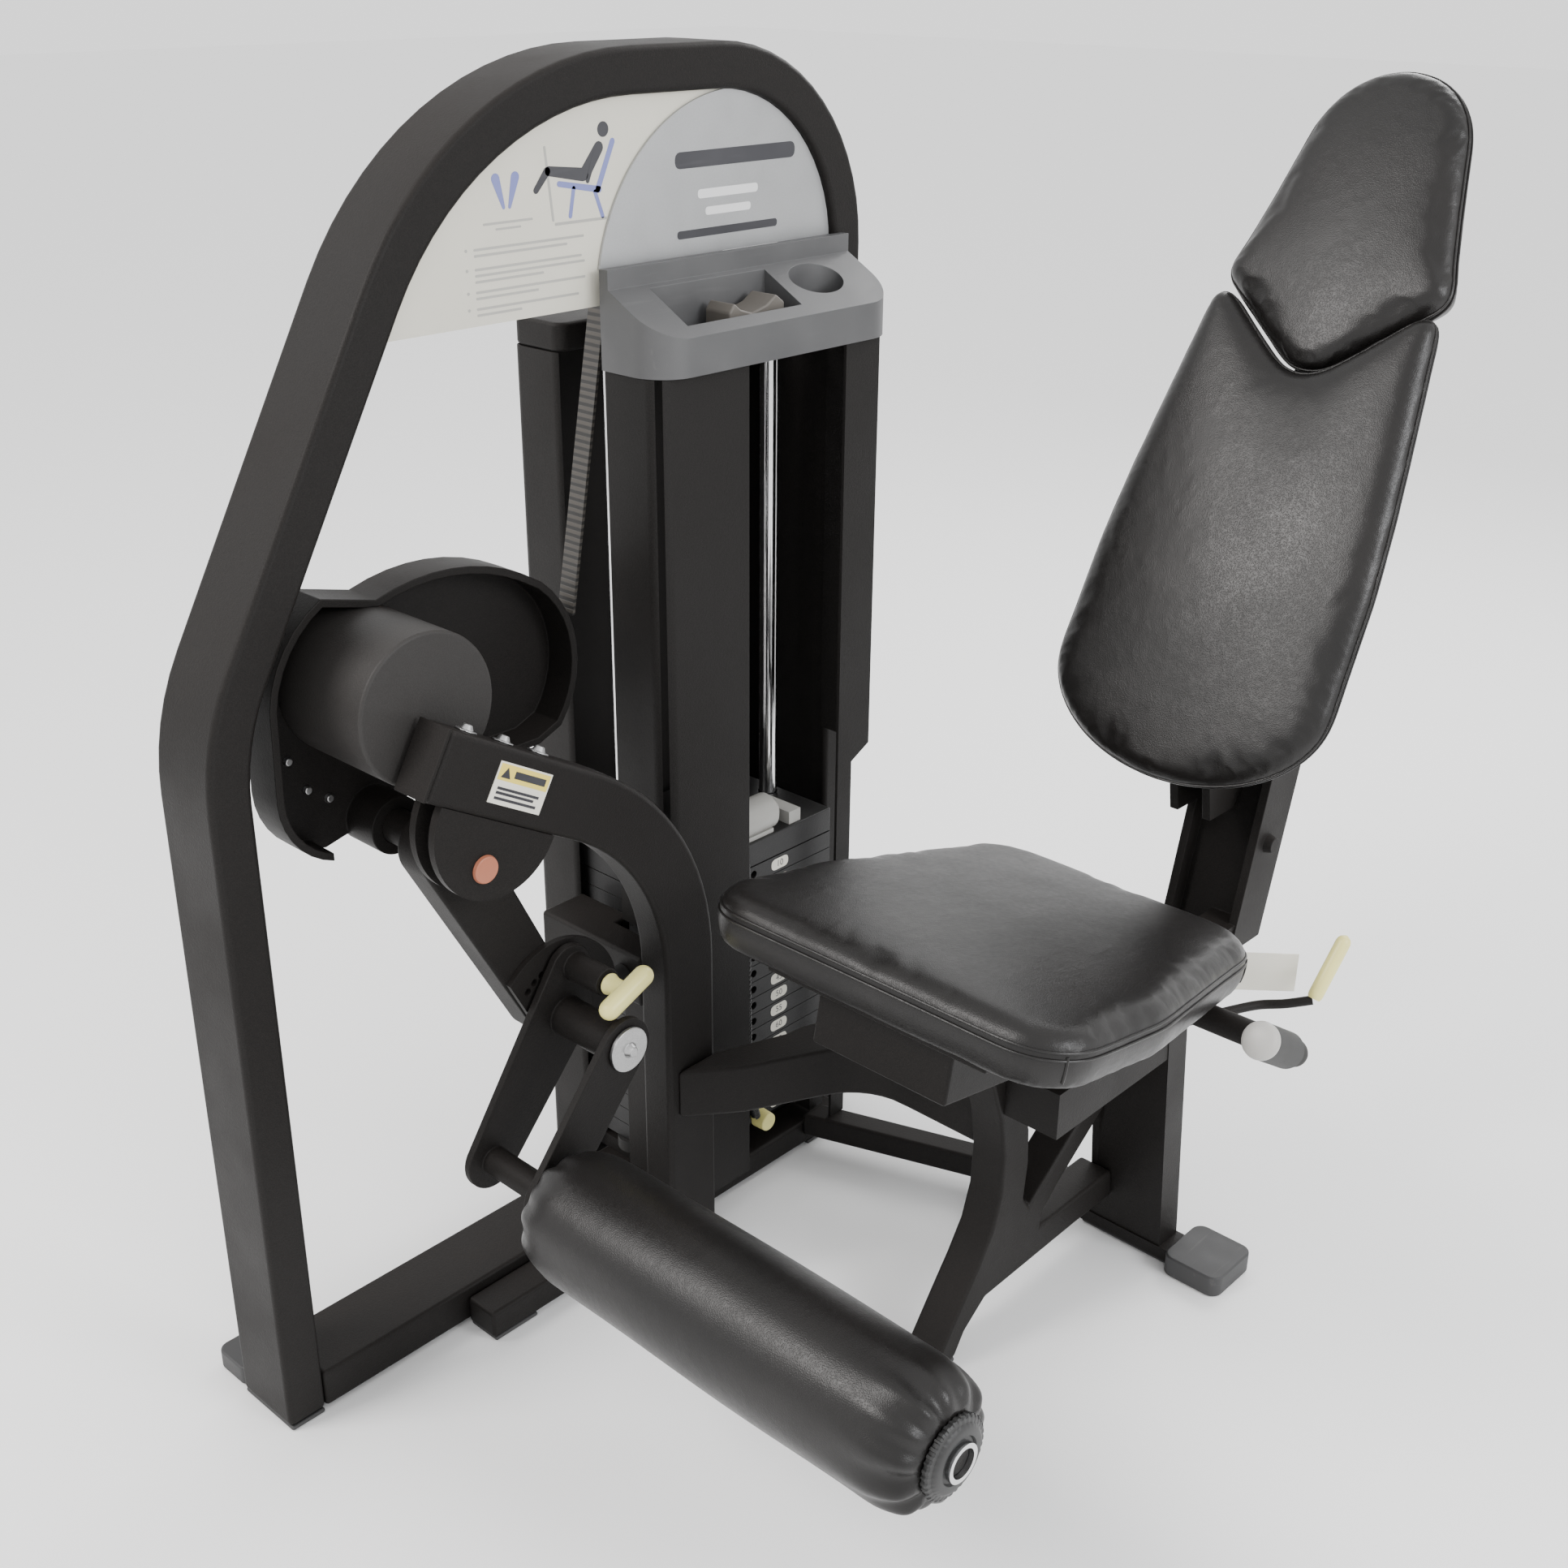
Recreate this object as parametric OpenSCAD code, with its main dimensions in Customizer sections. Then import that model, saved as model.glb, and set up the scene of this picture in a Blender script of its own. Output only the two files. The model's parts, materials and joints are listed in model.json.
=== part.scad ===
// Leg extension machine: a loop frame with a weight tower, a cam and a swinging
// roller arm at the user's right, and a tilted seat with a sliding backrest.
// X runs across the machine, -Y is where the user faces, Z is up, millimetres.
// Shapes are drawn from the front foot of the loop and then moved so that the
// origin is on the floor under the middle of the machine.

/* [Loop frame] */
// overall height of the loop
loop_h = 1500; // [1300:5:1700]
// outer length of the loop along Y
loop_len = 975; // [800:5:1100]
// tube size across the machine
tube_x = 100; // [60:5:120]
// tube size in the plane of the loop
tube_d = 50; // [30:5:80]
// height of the floor tube
floor_tube_h = 56; // [40:1:80]

/* [Pivot column] */
// column size across the machine
col_x = 50; // [40:5:80]
// column depth in its own plane
col_d = 80; // [60:5:100]
// radius of the column's bend, at its middle
col_bend = 300; // [200:5:400]
// height of the main pivot
pivot_z = 705; // [600:5:800]
// main shaft radius
shaft_r = 20; // [12:1:30]

/* [Arm] */
// arm tube size across the machine
arm_x = 48; // [30:2:60]
// arm tube width in its own plane
arm_w = 68; // [50:2:90]
// cam rim width
cam_w = 50; // [30:2:70]
// counterweight drum radius
drum_r = 85; // [60:1:110]
// radius of the ring of holes in the sector plate
hole_ring = 62; // [50:1:80]

/* [Roller] */
// roller pad radius at its middle
roller_r = 79; // [50:1:100]
// roller pad length
roller_len = 556; // [400:5:650]
// carrier plate thickness
plate_t = 10; // [6:1:15]

/* [Weight stack] */
// number of plates under the head plate
plates = 16; // [8:1:24]
// height of one plate with its gap
plate_pitch = 25; // [20:0.5:32]
// guide rod radius
rod_r = 12; // [8:0.5:15]
// distance between the guide rods
rod_gap = 264; // [180:2:300]

/* [Tower] */
// distance from the middle of the tower to a side cover
tower_half = 137; // [110:1:160]
// height of the side covers
cover_top = 1165; // [1000:5:1250]
// side cover sheet thickness
cover_t = 4; // [2:0.5:6]

/* [Seat] */
// backward tilt of the seat in degrees
seat_tilt = 11; // [0:1:20]
// seat pad thickness
seat_t = 72; // [50:1:100]
// seat pad length
seat_len = 505; // [380:5:560]
// half width at the front of the seat pad
seat_front = 250; // [180:5:280]
// half width at the rear of the seat pad
seat_rear = 205; // [150:5:260]

/* [Backrest] */
// recline of the back pads in degrees
back_recline = 28; // [15:1:35]
// back pad thickness
back_t = 62; // [40:1:90]

/* [Hidden] */
$fn = 48;
eps = 0.01;
gap = 0.3;
loop_mid = -tube_x / 2;
pivot_y = 230;
col_far = 87;
col_near = col_far + col_x;
col_slope = 29.8;
arc_y = 228;
arc_z = 467;
col_mid = arc_y + col_bend;
knee_y = 358;
knee_z = 455;
axle_y = 240;
axle_z = 312;
pin_y = 374;
pin_z = knee_z + sqrt(hole_ring * hole_ring - (pin_y - knee_y) * (pin_y - knee_y));
stack_y = 728;
stack_z = 96;
head_z = stack_z + plates * plate_pitch;
pulley_y = 668;
pulley_z = 1372;
pulley_r = 60;
seat_x = 490;
seat_y = 432;
seat_z = 662;
back_y = 945;
back_z = 690;
post_lean = 36;
origin_x = 307;
origin_y = 714.46;

// ---------- helpers ----------

// a flat outline drawn in Y and Z, given a width along X from x0
module slab(x0, w) {
  translate([x0, 0, 0]) rotate([90, 0, 90]) linear_extrude(height = w) children();
}

// a rod along X
module rod_x(x0, x1, y, z, r, r2 = -1) {
  translate([x0, y, z]) rotate([0, 90, 0]) cylinder(h = x1 - x0, r1 = r, r2 = r2 < 0 ? r : r2);
}

// moves a part from the drawing's corner to the origin on the floor
module at_origin() {
  translate([-origin_x, -origin_y, 0]) children();
}

// a block given by its two corners
module block(a, b) {
  translate(a) cube(b - a);
}

// points of an arc, angles in degrees
function arc_pts(cy, cz, r, a0, a1, n = 12) =
  [for (i = [0 : n]) let (a = a0 + (a1 - a0) * i / n) [cy + r * cos(a), cz + r * sin(a)]];

// a round rod through a list of points
module rod_between(a, b, r) {
  d = b - a;
  l = norm(d);
  translate(a) rotate([0, acos(d[2] / l), atan2(d[1], d[0])]) cylinder(h = l, r = r);
}

module bent_rod(pts, r) {
  for (i = [0 : len(pts) - 2]) {
    d = pts[i + 1] - pts[i];
    l = norm(d);
    translate(pts[i]) rotate([0, acos(d[2] / l), atan2(d[1], d[0])]) cylinder(h = l, r = r);
    if (i > 0) translate(pts[i]) sphere(r = r + 1);
  }
}

// the seat's own frame: X across, Y rearwards along the pad, Z up from its top
module on_seat() {
  translate([seat_x, seat_y, seat_z]) rotate([-seat_tilt, 0, 0]) children();
}

// the backrest's own frame: X across, Z up the pad, +Y into its thickness
module on_back() {
  translate([seat_x, back_y, back_z]) rotate([-back_recline, 0, 0]) children();
}

// ---------- loop, floor and feet ----------

// outline of the loop at an inset from its outside
module loop_outline(inset, low) {
  pts = concat(
    [[-3 + inset, low]],
    arc_pts(297, 796, 300 - inset, 180, 150.5, 6),
    arc_pts(595, loop_h - 420, 420 - inset, 150.5, 90, 14),
    arc_pts(loop_len - 243, loop_h - 240, 240 - inset, 90, 0, 14),
    [[loop_len - 3 - inset, low]]);
  polygon(pts);
}

module loop_frame() {
  color([0.17, 0.165, 0.16]) at_origin()
  slab(-tube_x, tube_x) difference() {
    loop_outline(0, 6);
    loop_outline(tube_d, 0);
  }
}

module floor_tube() {
  color([0.17, 0.165, 0.16]) at_origin() {
    block([-tube_x, tube_d - 3 + gap, 6], [0, loop_len - tube_d - 3 - gap, floor_tube_h]);
    // skid beside the tube, under the tower
    block([2, 259, 6], [52, 905, 44]);
    block([-152, 560, 6], [-102, 905, 44]);
  }
}

module feet() {
  color([0.09, 0.09, 0.09]) at_origin() {
    block([-tube_x, -1, 0], [0, 45, 6]);
    block([-tube_x, loop_len - 50, 0], [0, loop_len - 5, 6]);
    block([2, 262, 0], [52, 330, 6]);
    block([2, 840, 0], [52, 902, 6]);
    block([-152, 570, 0], [-102, 630, 6]);
    block([-152, 840, 0], [-102, 902, 6]);
    block([col_far, 489, 0], [col_near, 567, 6]);
    block([440, 582, 0], [490, 630, 6]);
    // rounded floor shoes
    translate([-166, 2, 0]) linear_extrude(height = 26)
      offset(14) offset(-14) square([64, 58]);
    translate([581, 950, 0]) linear_extrude(height = 30)
      offset(16) offset(-16) square([84, 92]);
    block([444, 968, 0], [580.5, 1010, 6]);
  }
}

// ---------- pivot column ----------

module column_outline() {
  lo = col_bend - col_d / 2;
  hi = col_bend + col_d / 2;
  a = 90 - col_slope;
  run = 228;
  cut = [-run * sin(a), run * cos(a)];
  pts = concat(
    [[arc_y + hi * cos(a), arc_z + hi * sin(a)] + cut],
    arc_pts(arc_y, arc_z, hi, a, 0, 14),
    [[arc_y + hi, 6], [arc_y + lo, 6]],
    arc_pts(arc_y, arc_z, lo, 0, a, 14),
    [[arc_y + lo * cos(a), arc_z + lo * sin(a)] + cut]);
  polygon(pts);
}

// a frame at the free end of the column, Y along the tube, Z across it
module on_column_end() {
  a = 90 - col_slope;
  translate([0, arc_y + col_bend * cos(a) - 228 * sin(a), arc_z + col_bend * sin(a) + 228 * cos(a)])
    rotate([-col_slope, 0, 0]) children();
}

module pivot_column() {
  color([0.17, 0.165, 0.16]) at_origin() slab(col_far, col_x) column_outline();
}

module column_cap() {
  color([0.2, 0.17, 0.16]) at_origin()
  on_column_end() translate([col_far, -4, -col_d / 2]) cube([col_x, 4 - eps, col_d]);
}

module pivot_plate_outline() {
  difference() {
    translate([252, 748]) circle(r = 84);
    translate([pivot_y, pivot_z]) circle(r = 30);
    translate([164, 810]) rotate(-col_slope) translate([-200, -4]) square([500, 200]);
  }
}

module pivot_plates() {
  color([0.18, 0.175, 0.17]) at_origin() difference() {
    union() {
      slab(col_far + 4, 10) pivot_plate_outline();
      slab(col_near - 14, 10) pivot_plate_outline();
      slab(col_far + 14 - eps, col_x - 28 + 2 * eps) difference() {
        union() {
          translate([pivot_y, pivot_z]) circle(r = 36);
          translate([pivot_y - 12, pivot_z]) square([24, 58]);
        }
        translate([pivot_y, pivot_z]) circle(r = 30);
      }
    }
    slab(col_far, col_x) column_outline();
  }
}

module pivot_bearings() {
  color([0.6, 0.6, 0.6]) at_origin()
  for (x = [col_far + 4, col_near - 16])
    translate([x, pivot_y, pivot_z]) rotate([0, 90, 0]) difference() {
      cylinder(h = 12, r = 30);
      translate([0, 0, -1]) cylinder(h = 14, r = shaft_r + 0.05);
    }
}

module cross_member() {
  color([0.17, 0.165, 0.16]) at_origin() {
    block([-tube_x + 2, 490, 400], [col_far, 536, 468]);
    block([-tube_x + 2, 535, 400], [-6, 560, 468]);
  }
}

module arm_stop() {
  color([0.08, 0.08, 0.08]) at_origin() {
    translate([56, 392.4, 434]) rotate([-90, 0, 0]) cylinder(h = 490 - 392.4 - eps, r = 16);
  }
}

module column_bolts() {
  color([0.62, 0.62, 0.62]) at_origin()
  on_column_end()
    for (y = [42, 96, 150]) translate([col_far + 22, y, col_d / 2]) {
      cylinder(h = 2, r = 12);
      translate([0, 0, 2 - eps]) cylinder(h = 6, r1 = 8, r2 = 5);
    }
}

// ---------- seat structure ----------

module cross_tube() {
  color([0.17, 0.165, 0.17]) at_origin()
  translate([0, 0, 255]) linear_extrude(height = 70) polygon(concat(
    [[col_near, 500], [col_near, 566]],
    [for (i = [0 : 8]) let (a = 180 - 11.25 * i) [300 + 128 * cos(a), 660 + 118 * sin(a)]],
    [[440, 778], [440, 716], [330, 716]],
    [for (i = [1 : 7]) let (a = 90 + 9 * i) [320 + 92 * cos(a), 620 + 96 * sin(a)]],
    [[190, 568]]));
}

module front_leg() {
  color([0.17, 0.165, 0.16]) at_origin()
  slab(440, 50) polygon([[648, 478], [672, 392], [698, 320], [708, 262], [706, 205],
    [692, 160], [668, 122], [640, 84], [610, 42], [584, 6], [630, 6], [648, 35],
    [687, 64], [888, 70], [post_y(70), 70], [post_y(112), 112], [798, 112], [802, 132],
    [832, 160], [post_y(245), 245], [post_y(290), 290], [770, 158], [757, 176],
    [762, 230], [758, 280], [734, 360], [724, 391], [722, 420], [716, 478]]);
}

// front face of the leaning rear post at a height
function post_y(z) = 968 - post_lean * (z - 24) / 368 - gap;

module rear_post() {
  color([0.17, 0.165, 0.16]) at_origin() {
    slab(457, 110) polygon([[968, 24], [1010, 24], [1010 - post_lean, 392],
      [968 - post_lean, 392]]);
    // beam under the seat
    block([490 + gap, 700, 330], [566, 940, 392 - eps]);
    block([442, 966, 6], [581 - gap, 1012, 24 + eps]);
  }
}

module floor_brace() {
  color([0.2, 0.19, 0.18]) at_origin()
  translate([0, 0, 24.5]) linear_extrude(height = 35.5)
    polygon([[52 + gap, 826], [457 - gap, 972], [457 - gap, 1010], [52 + gap, 866]]);
}

module seat_frame() {
  color([0.16, 0.13, 0.12]) at_origin() {
    on_seat() translate([-90, 52, -seat_t - 78]) cube([185, 190, 78 - gap]);
    block([444, 664, 478 + gap], [486, 710, 532]);
    on_seat() translate([-150, 30, -seat_t - 12]) cube([300, 360, 12 - gap]);
  }
}

// ---------- tower covers, console and placards ----------

module cover_near_front() {
  x1 = loop_mid + tower_half - 1;
  color([0.19, 0.185, 0.18]) at_origin()
  difference() {
    translate([0, 0, 55]) linear_extrude(height = cover_top - 55) difference() {
      translate([0, 540]) square([x1, 143]);
      translate([-1, 540 + cover_t]) square([x1 + 1 - cover_t, 200]);
      // rounded outside corner
      difference() {
        translate([x1 - 22, 539]) square([23, 23]);
        translate([x1 - 22, 562]) circle(r = 22);
      }
    }
    // clearance for the member that joins the column
    block([-1, 530, 396], [x1 + 1, 546, 472]);
  }
}

module cover_near_rear() {
  x1 = loop_mid + tower_half - 1;
  color([0.19, 0.185, 0.18]) at_origin() {
    block([x1 - cover_t, 850, 627], [x1, 911, cover_top]);
    block([x1 - cover_t, 850, 60 + gap], [x1, 877, 627 + eps]);
    block([4, 907, 627], [x1 - cover_t + eps, 911, cover_top]);
    slab(x1 - cover_t, cover_t) polygon([[876, 609], [911, 627 + eps], [876, 627 + eps]]);
  }
}

module cover_far() {
  x0 = loop_mid - tower_half;
  color([0.19, 0.185, 0.18]) at_origin()
  translate([0, 0, 55]) linear_extrude(height = cover_top - 55) difference() {
    translate([x0, 562]) offset(14) offset(-14) square([84, 349]);
    translate([x0 + cover_t, 562 + cover_t]) square([90, 349 - 2 * cover_t]);
  }
}

module console() {
  color([0.43, 0.43, 0.44]) at_origin()
  difference() {
    translate([0, 0, cover_top + gap]) linear_extrude(height = 110) union() {
      translate([0, 536]) offset(46) offset(-46) square([97, 396]);
      translate([0, 536]) square([48, 396]);
    }
    // sloping top
    translate([0, 1000, 0]) rotate([90, 0, 0]) linear_extrude(height = 500)
      polygon([[14, 1276], [14, 1254], [98, 1208], [98, 1400], [-10, 1400], [-10, 1274]]);
    // phone pocket, with a slot for the saddle
    translate([20, 592, 1196]) cube([60, 184, 100]);
    // oval cup hollow
    translate([46, 838, 1190]) linear_extrude(height = 100) scale([0.72, 1.2]) circle(r = 34);
  }
}

module console_saddle() {
  color([0.52, 0.5, 0.47]) at_origin()
  slab(30, 40) difference() {
    polygon([[668, 1196 + gap], [758, 1196 + gap], [758, 1222], [744, 1232], [728, 1222],
      [704, 1216], [686, 1222], [676, 1230], [668, 1220]]);
  }
}

module console_far() {
  color([0.4, 0.4, 0.41]) at_origin()
  translate([0, 0, cover_top + gap]) linear_extrude(height = 34)
    translate([loop_mid - tower_half, 562]) offset(16) offset(-16) square([86, 349]);
}

module placard_guide() {
  color([0.88, 0.87, 0.8]) at_origin()
  slab(-16, 3) intersection() {
    loop_outline(tube_d + 0.4, 0);
    translate([260, 1233]) square([480, 300]);
  }
}

module placard_title() {
  color([0.72, 0.72, 0.73]) at_origin()
  slab(-12, 3) intersection() {
    loop_outline(tube_d + 0.4, 0);
    union() {
      translate([760, 1232]) circle(r = 218, $fn = 96);
      translate([760, 1273]) square([200, 200]);
    }
    translate([500, 1273]) square([480, 300]);
  }
}

// ---------- weight stack ----------

module stack_base() {
  color([0.17, 0.165, 0.16]) at_origin() {
    block([-150, 585, 56 + gap], [50, 612, 78]);
    block([-150, 845, 56 + gap], [50, 872, 78]);
  }
}

module guide_rods() {
  color([0.78, 0.78, 0.79]) at_origin()
  for (s = [-1, 1]) translate([loop_mid, stack_y + s * rod_gap / 2, 78])
    cylinder(h = 1110, r = rod_r);
}

module rod_crosshead() {
  color([0.17, 0.165, 0.16]) at_origin()
  difference() {
    union() {
      block([-72, 581, 1166], [-28, loop_len - 53 - gap, 1196]);
      block([-72, 640, 1166], [-66, 700, 1395]);
      block([-34, 640, 1166], [-28, 700, 1395]);
    }
    // slot for the belt
    block([-66, 722, 1160], [-34, 742, 1400]);
    for (s = [-1, 1]) translate([loop_mid, stack_y + s * rod_gap / 2, 1160])
      cylinder(h = 29, r = rod_r);
    translate([-80, pulley_y, pulley_z]) rotate([0, 90, 0]) cylinder(h = 60, r = 8);
  }
}

module rod_bumpers() {
  color([0.08, 0.08, 0.08]) at_origin()
  for (s = [-1, 1]) translate([loop_mid, stack_y + s * rod_gap / 2, 78 + gap]) difference() {
    cylinder(h = 17, r = 24);
    translate([0, 0, -1]) cylinder(h = 20, r = rod_r + 0.1);
  }
}

module weight_plates() {
  color([0.15, 0.15, 0.15]) at_origin()
  difference() {
    for (i = [0 : plates - 1])
      block([-150, 578, stack_z + i * plate_pitch], [50, 878, stack_z + (i + 1) * plate_pitch - 1]);
    for (s = [-1, 1]) translate([loop_mid, stack_y + s * rod_gap / 2, stack_z - 1])
      cylinder(h = 600, r = rod_r + 1);
    translate([loop_mid, stack_y, stack_z - 1]) cylinder(h = 600, r = 15);
    for (i = [0 : plates - 1])
      rod_x(-60, 51, stack_y, stack_z + (i + 0.5) * plate_pitch, 5.5);
  }
}

module head_plate() {
  color([0.24, 0.21, 0.2]) at_origin()
  difference() {
    block([-150, 578, head_z], [50, 878, head_z + 34]);
    for (s = [-1, 1]) translate([loop_mid, stack_y + s * rod_gap / 2, head_z - 1])
      cylinder(h = 60, r = rod_r + 1);
    translate([loop_mid, stack_y, head_z - 1]) cylinder(h = 60, r = 14);
  }
}

module selector_rod() {
  color([0.5, 0.5, 0.5]) at_origin()
  difference() {
    translate([loop_mid, stack_y, stack_z]) cylinder(h = head_z + 84 - stack_z, r = 13.95);
    for (i = [0 : plates - 1])
      rod_x(-75, -20, stack_y, stack_z + (i + 0.5) * plate_pitch, 5.5);
  }
}

module add_on_weight() {
  color([0.68, 0.67, 0.64]) at_origin() {
    translate([28, 690, head_z + 34 + 25]) rotate([-90, 0, 0]) cylinder(h = 84, r = 24);
    translate([28, 774, head_z + 34 + 25]) rotate([-90, 0, 0]) cylinder(h = 10, r1 = 24, r2 = 15);
    block([6, 700, head_z + 34 + eps], [46, 770, head_z + 40]);
    block([-20, 800, head_z + 34 + eps], [46, 822, head_z + 52]);
  }
}

module selector_pin() {
  color([0.92, 0.9, 0.55]) at_origin() {
    z = stack_z + plate_pitch / 2;
    rod_x(-62, 52, stack_y, z, 5);
    rod_x(51.5, 58, stack_y, z, 9);
    rod_x(58 - eps, 80, stack_y, z, 14, 13);
  }
}

module lanyard() {
  color([0.07, 0.07, 0.07]) at_origin()
  bent_rod([[58, 704, head_z + 14], [63, 700, head_z - 60], [65, 699, head_z - 200],
    [66, 703, head_z - 320], [68, 714, stack_z + 24]], 7);
}

// ---------- pulley and belt ----------

module pulley_axle() {
  color([0.7, 0.7, 0.7]) at_origin() rod_x(-74, -26, pulley_y, pulley_z, 7.95);
}

module top_pulley() {
  color([0.14, 0.14, 0.14]) at_origin()
  translate([loop_mid - 14.5, pulley_y, pulley_z]) rotate([0, 90, 0]) difference() {
    cylinder(h = 29, r = pulley_r);
    translate([0, 0, -1]) cylinder(h = 31, r = 8);
  }
}

module belt_run() {
  color([0.32, 0.3, 0.27]) at_origin()
  slab(loop_mid - 13, 26) polygon(concat(
    [[510, 876]],
    arc_pts(pulley_y, pulley_z, pulley_r + 4.3, 169.5, 0, 14),
    arc_pts(pulley_y, pulley_z, pulley_r + 0.8, 0, 169.5, 14),
    [[514, 876]]));
}

module belt_drop() {
  color([0.32, 0.3, 0.27]) at_origin()
  block([loop_mid - 13, pulley_y + pulley_r + 0.5, head_z + 84 + gap],
    [loop_mid + 13, pulley_y + pulley_r + 4, pulley_z - gap]);
}

// ---------- cam and swinging arm ----------

module main_shaft() {
  color([0.35, 0.35, 0.36]) at_origin() rod_x(-86, col_near - 4, pivot_y, pivot_z, shaft_r);
}

module pivot_cap() {
  color([0.75, 0.44, 0.33]) at_origin() {
    rod_x(col_near - 4, col_near + 1, pivot_y, pivot_z, 16.5, 15);
    rod_x(-67 + eps, -62, 262, 958, 7, 5);
  }
}

module cam_outline() {
  polygon(concat(
    arc_pts(230, 860, 140, 172, 118, 6),
    arc_pts(310, 725, 254, 108, 62, 8),
    arc_pts(378, 832, 128, 52, -40, 10),
    [[442, 736], [400, 736]],
    arc_pts(180, 775, 92, 262, 180, 8)));
}

module cam() {
  color([0.18, 0.175, 0.17]) at_origin()
  difference() {
    union() {
      slab(loop_mid - cam_w / 2, cam_w) difference() {
        cam_outline();
        offset(-9) cam_outline();
        translate([212, 876]) circle(r = drum_r + eps);
        // the rim is open at the bottom, round the shaft
        translate([150, 640]) square([225, 90]);
      }
      slab(loop_mid - cam_w / 2, 8) cam_outline();
      rod_x(loop_mid - cam_w / 2 - 4, loop_mid + cam_w / 2 + 6, pivot_y, pivot_z, 34);
    }
    rod_x(loop_mid - 60, loop_mid + 60, pivot_y, pivot_z, shaft_r + eps);
  }
}

module counterweight() {
  color([0.27, 0.26, 0.25]) at_origin()
  rod_x(loop_mid - cam_w / 2 + 8 + eps, 80, 212, 876, drum_r);
}

module arm_tube() {
  color([0.18, 0.175, 0.17]) at_origin()
  difference() {
    slab(32, arm_x) hull() {
      translate([pivot_y, pivot_z]) circle(r = arm_w / 2 + 6);
      translate([knee_y, knee_z]) circle(r = arm_w / 2);
    }
    rod_x(30, 90, pivot_y, pivot_z, shaft_r + eps);
    rod_x(30, 90, knee_y, knee_z, 12 + eps);
  }
}

module sector_plate() {
  color([0.18, 0.175, 0.17]) at_origin()
  slab(32 + arm_x + eps, 8) difference() {
    intersection() {
      translate([knee_y, knee_z]) circle(r = 92);
      translate([knee_y - 96, knee_z - 30]) square([190, 200]);
    }
    translate([knee_y, knee_z]) circle(r = 12 + eps);
    // flush with the front edge of the arm
    polygon([[100, 720], [184, 720], [344, 410], [100, 410]]);
    // one hole for each starting angle of the roller
    for (i = [-1 : 5]) translate([knee_y, knee_z]) rotate(12 * i + atan2(pin_z - knee_z, pin_y - knee_y))
      translate([hole_ring, 0]) circle(r = 4.8);
  }
}

module arm_bolts() {
  color([0.72, 0.72, 0.72]) at_origin() {
    // bolts that hold the counterweight and the belt clamp to the cam
    for (p = [[322, 838], [150, 760], [176, 742], [130, 800]])
      rod_x(loop_mid - cam_w / 2 + 8, loop_mid - cam_w / 2 + 13, p[0], p[1], 6, 4);
    rod_x(26, 207, knee_y, knee_z, 12);
    rod_x(22, 32 - eps, knee_y, knee_z, 19);
    rod_x(206, 211, knee_y, knee_z, 27);
    rod_x(211 - eps, 218, knee_y, knee_z, 9, 6);
  }
}

module far_plate_outline() {
  difference() {
    hull() {
      translate([pin_y - 6, pin_z - 2]) circle(r = 30);
      translate([knee_y, knee_z]) circle(r = 42);
      translate([axle_y, axle_z]) circle(r = 36);
    }
    translate([knee_y, knee_z]) circle(r = 12.05);
    translate([pin_y, pin_z]) circle(r = 8.55);
  }
}

module near_plate_outline() {
  difference() {
    hull() {
      translate([knee_y, knee_z]) circle(r = 36);
      translate([axle_y, axle_z]) circle(r = 34);
    }
    translate([knee_y, knee_z]) circle(r = 12.05);
  }
}

module carrier() {
  color([0.18, 0.175, 0.17]) at_origin() {
    slab(92, plate_t) far_plate_outline();
    slab(195, plate_t) near_plate_outline();
    // knee sleeve, pin housing and roller axle
    slab(102 - eps, 93 + 2 * eps) translate([knee_y, knee_z]) difference() {
      circle(r = 24);
      circle(r = 12.05);
    }
    slab(102 - eps, 56) translate([pin_y, pin_z]) difference() {
      circle(r = 17);
      circle(r = 8.55);
    }
    rod_x(102 - eps, 195 + eps, axle_y, axle_z, 17);
    rod_x(205 - eps, 784, axle_y, axle_z, 15.9);
  }
}

module pop_pin() {
  color([0.92, 0.9, 0.55]) at_origin() {
    rod_x(80.5, 92, pin_y, pin_z, 4.5);
    rod_x(92 - eps, 160, pin_y, pin_z, 8.5);
    rod_x(160 - eps, 181, pin_y, pin_z, 12);
    translate([190, pin_y - 28, pin_z]) rotate([-90, 0, 0]) cylinder(h = 56, r = 12);
    for (s = [-28, 28]) translate([190, pin_y + s, pin_z]) sphere(r = 12);
  }
}

module roller_tube() {
  color([0.7, 0.7, 0.7]) at_origin()
  translate([212, axle_y, axle_z]) rotate([0, 90, 0]) difference() {
    cylinder(h = 578, r = 21);
    translate([0, 0, -1]) cylinder(h = 600, r = 15.95);
  }
}

module roller_pad() {
  color([0.09, 0.085, 0.08]) at_origin()
  translate([216, axle_y, axle_z]) rotate([0, 90, 0]) difference() {
    rotate_extrude($fn = 64) polygon([[21, 0], [48, 0], [66, 6], [73, 20], [76, 90],
      [roller_r, roller_len / 2], [76, roller_len - 90], [73, roller_len - 20],
      [66, roller_len - 6], [50, roller_len], [21, roller_len]]);
    translate([0, 0, -1]) cylinder(h = roller_len + 2, r = 21);
  }
}

module roller_cap() {
  color([0.1, 0.1, 0.1]) at_origin()
  translate([216 + roller_len, axle_y, axle_z]) rotate([0, 90, 0]) difference() {
    union() {
      cylinder(h = 8, r = 45);
      translate([0, 0, 8 - eps]) cylinder(h = 6, r1 = 42, r2 = 34);
    }
    translate([0, 0, -1]) cylinder(h = 20, r = 21);
  }
}

// ---------- seat and backrest ----------

module seat_outline() {
  offset(70) offset(-70) polygon([[-seat_front, 20], [-seat_front + 40, 0], [seat_front - 40, 0],
    [seat_front, 20], [seat_front, 200], [seat_rear, seat_len - 60], [seat_rear - 60, seat_len],
    [60 - seat_rear, seat_len], [-seat_rear, seat_len - 60], [-seat_front, 200]]);
}

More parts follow.
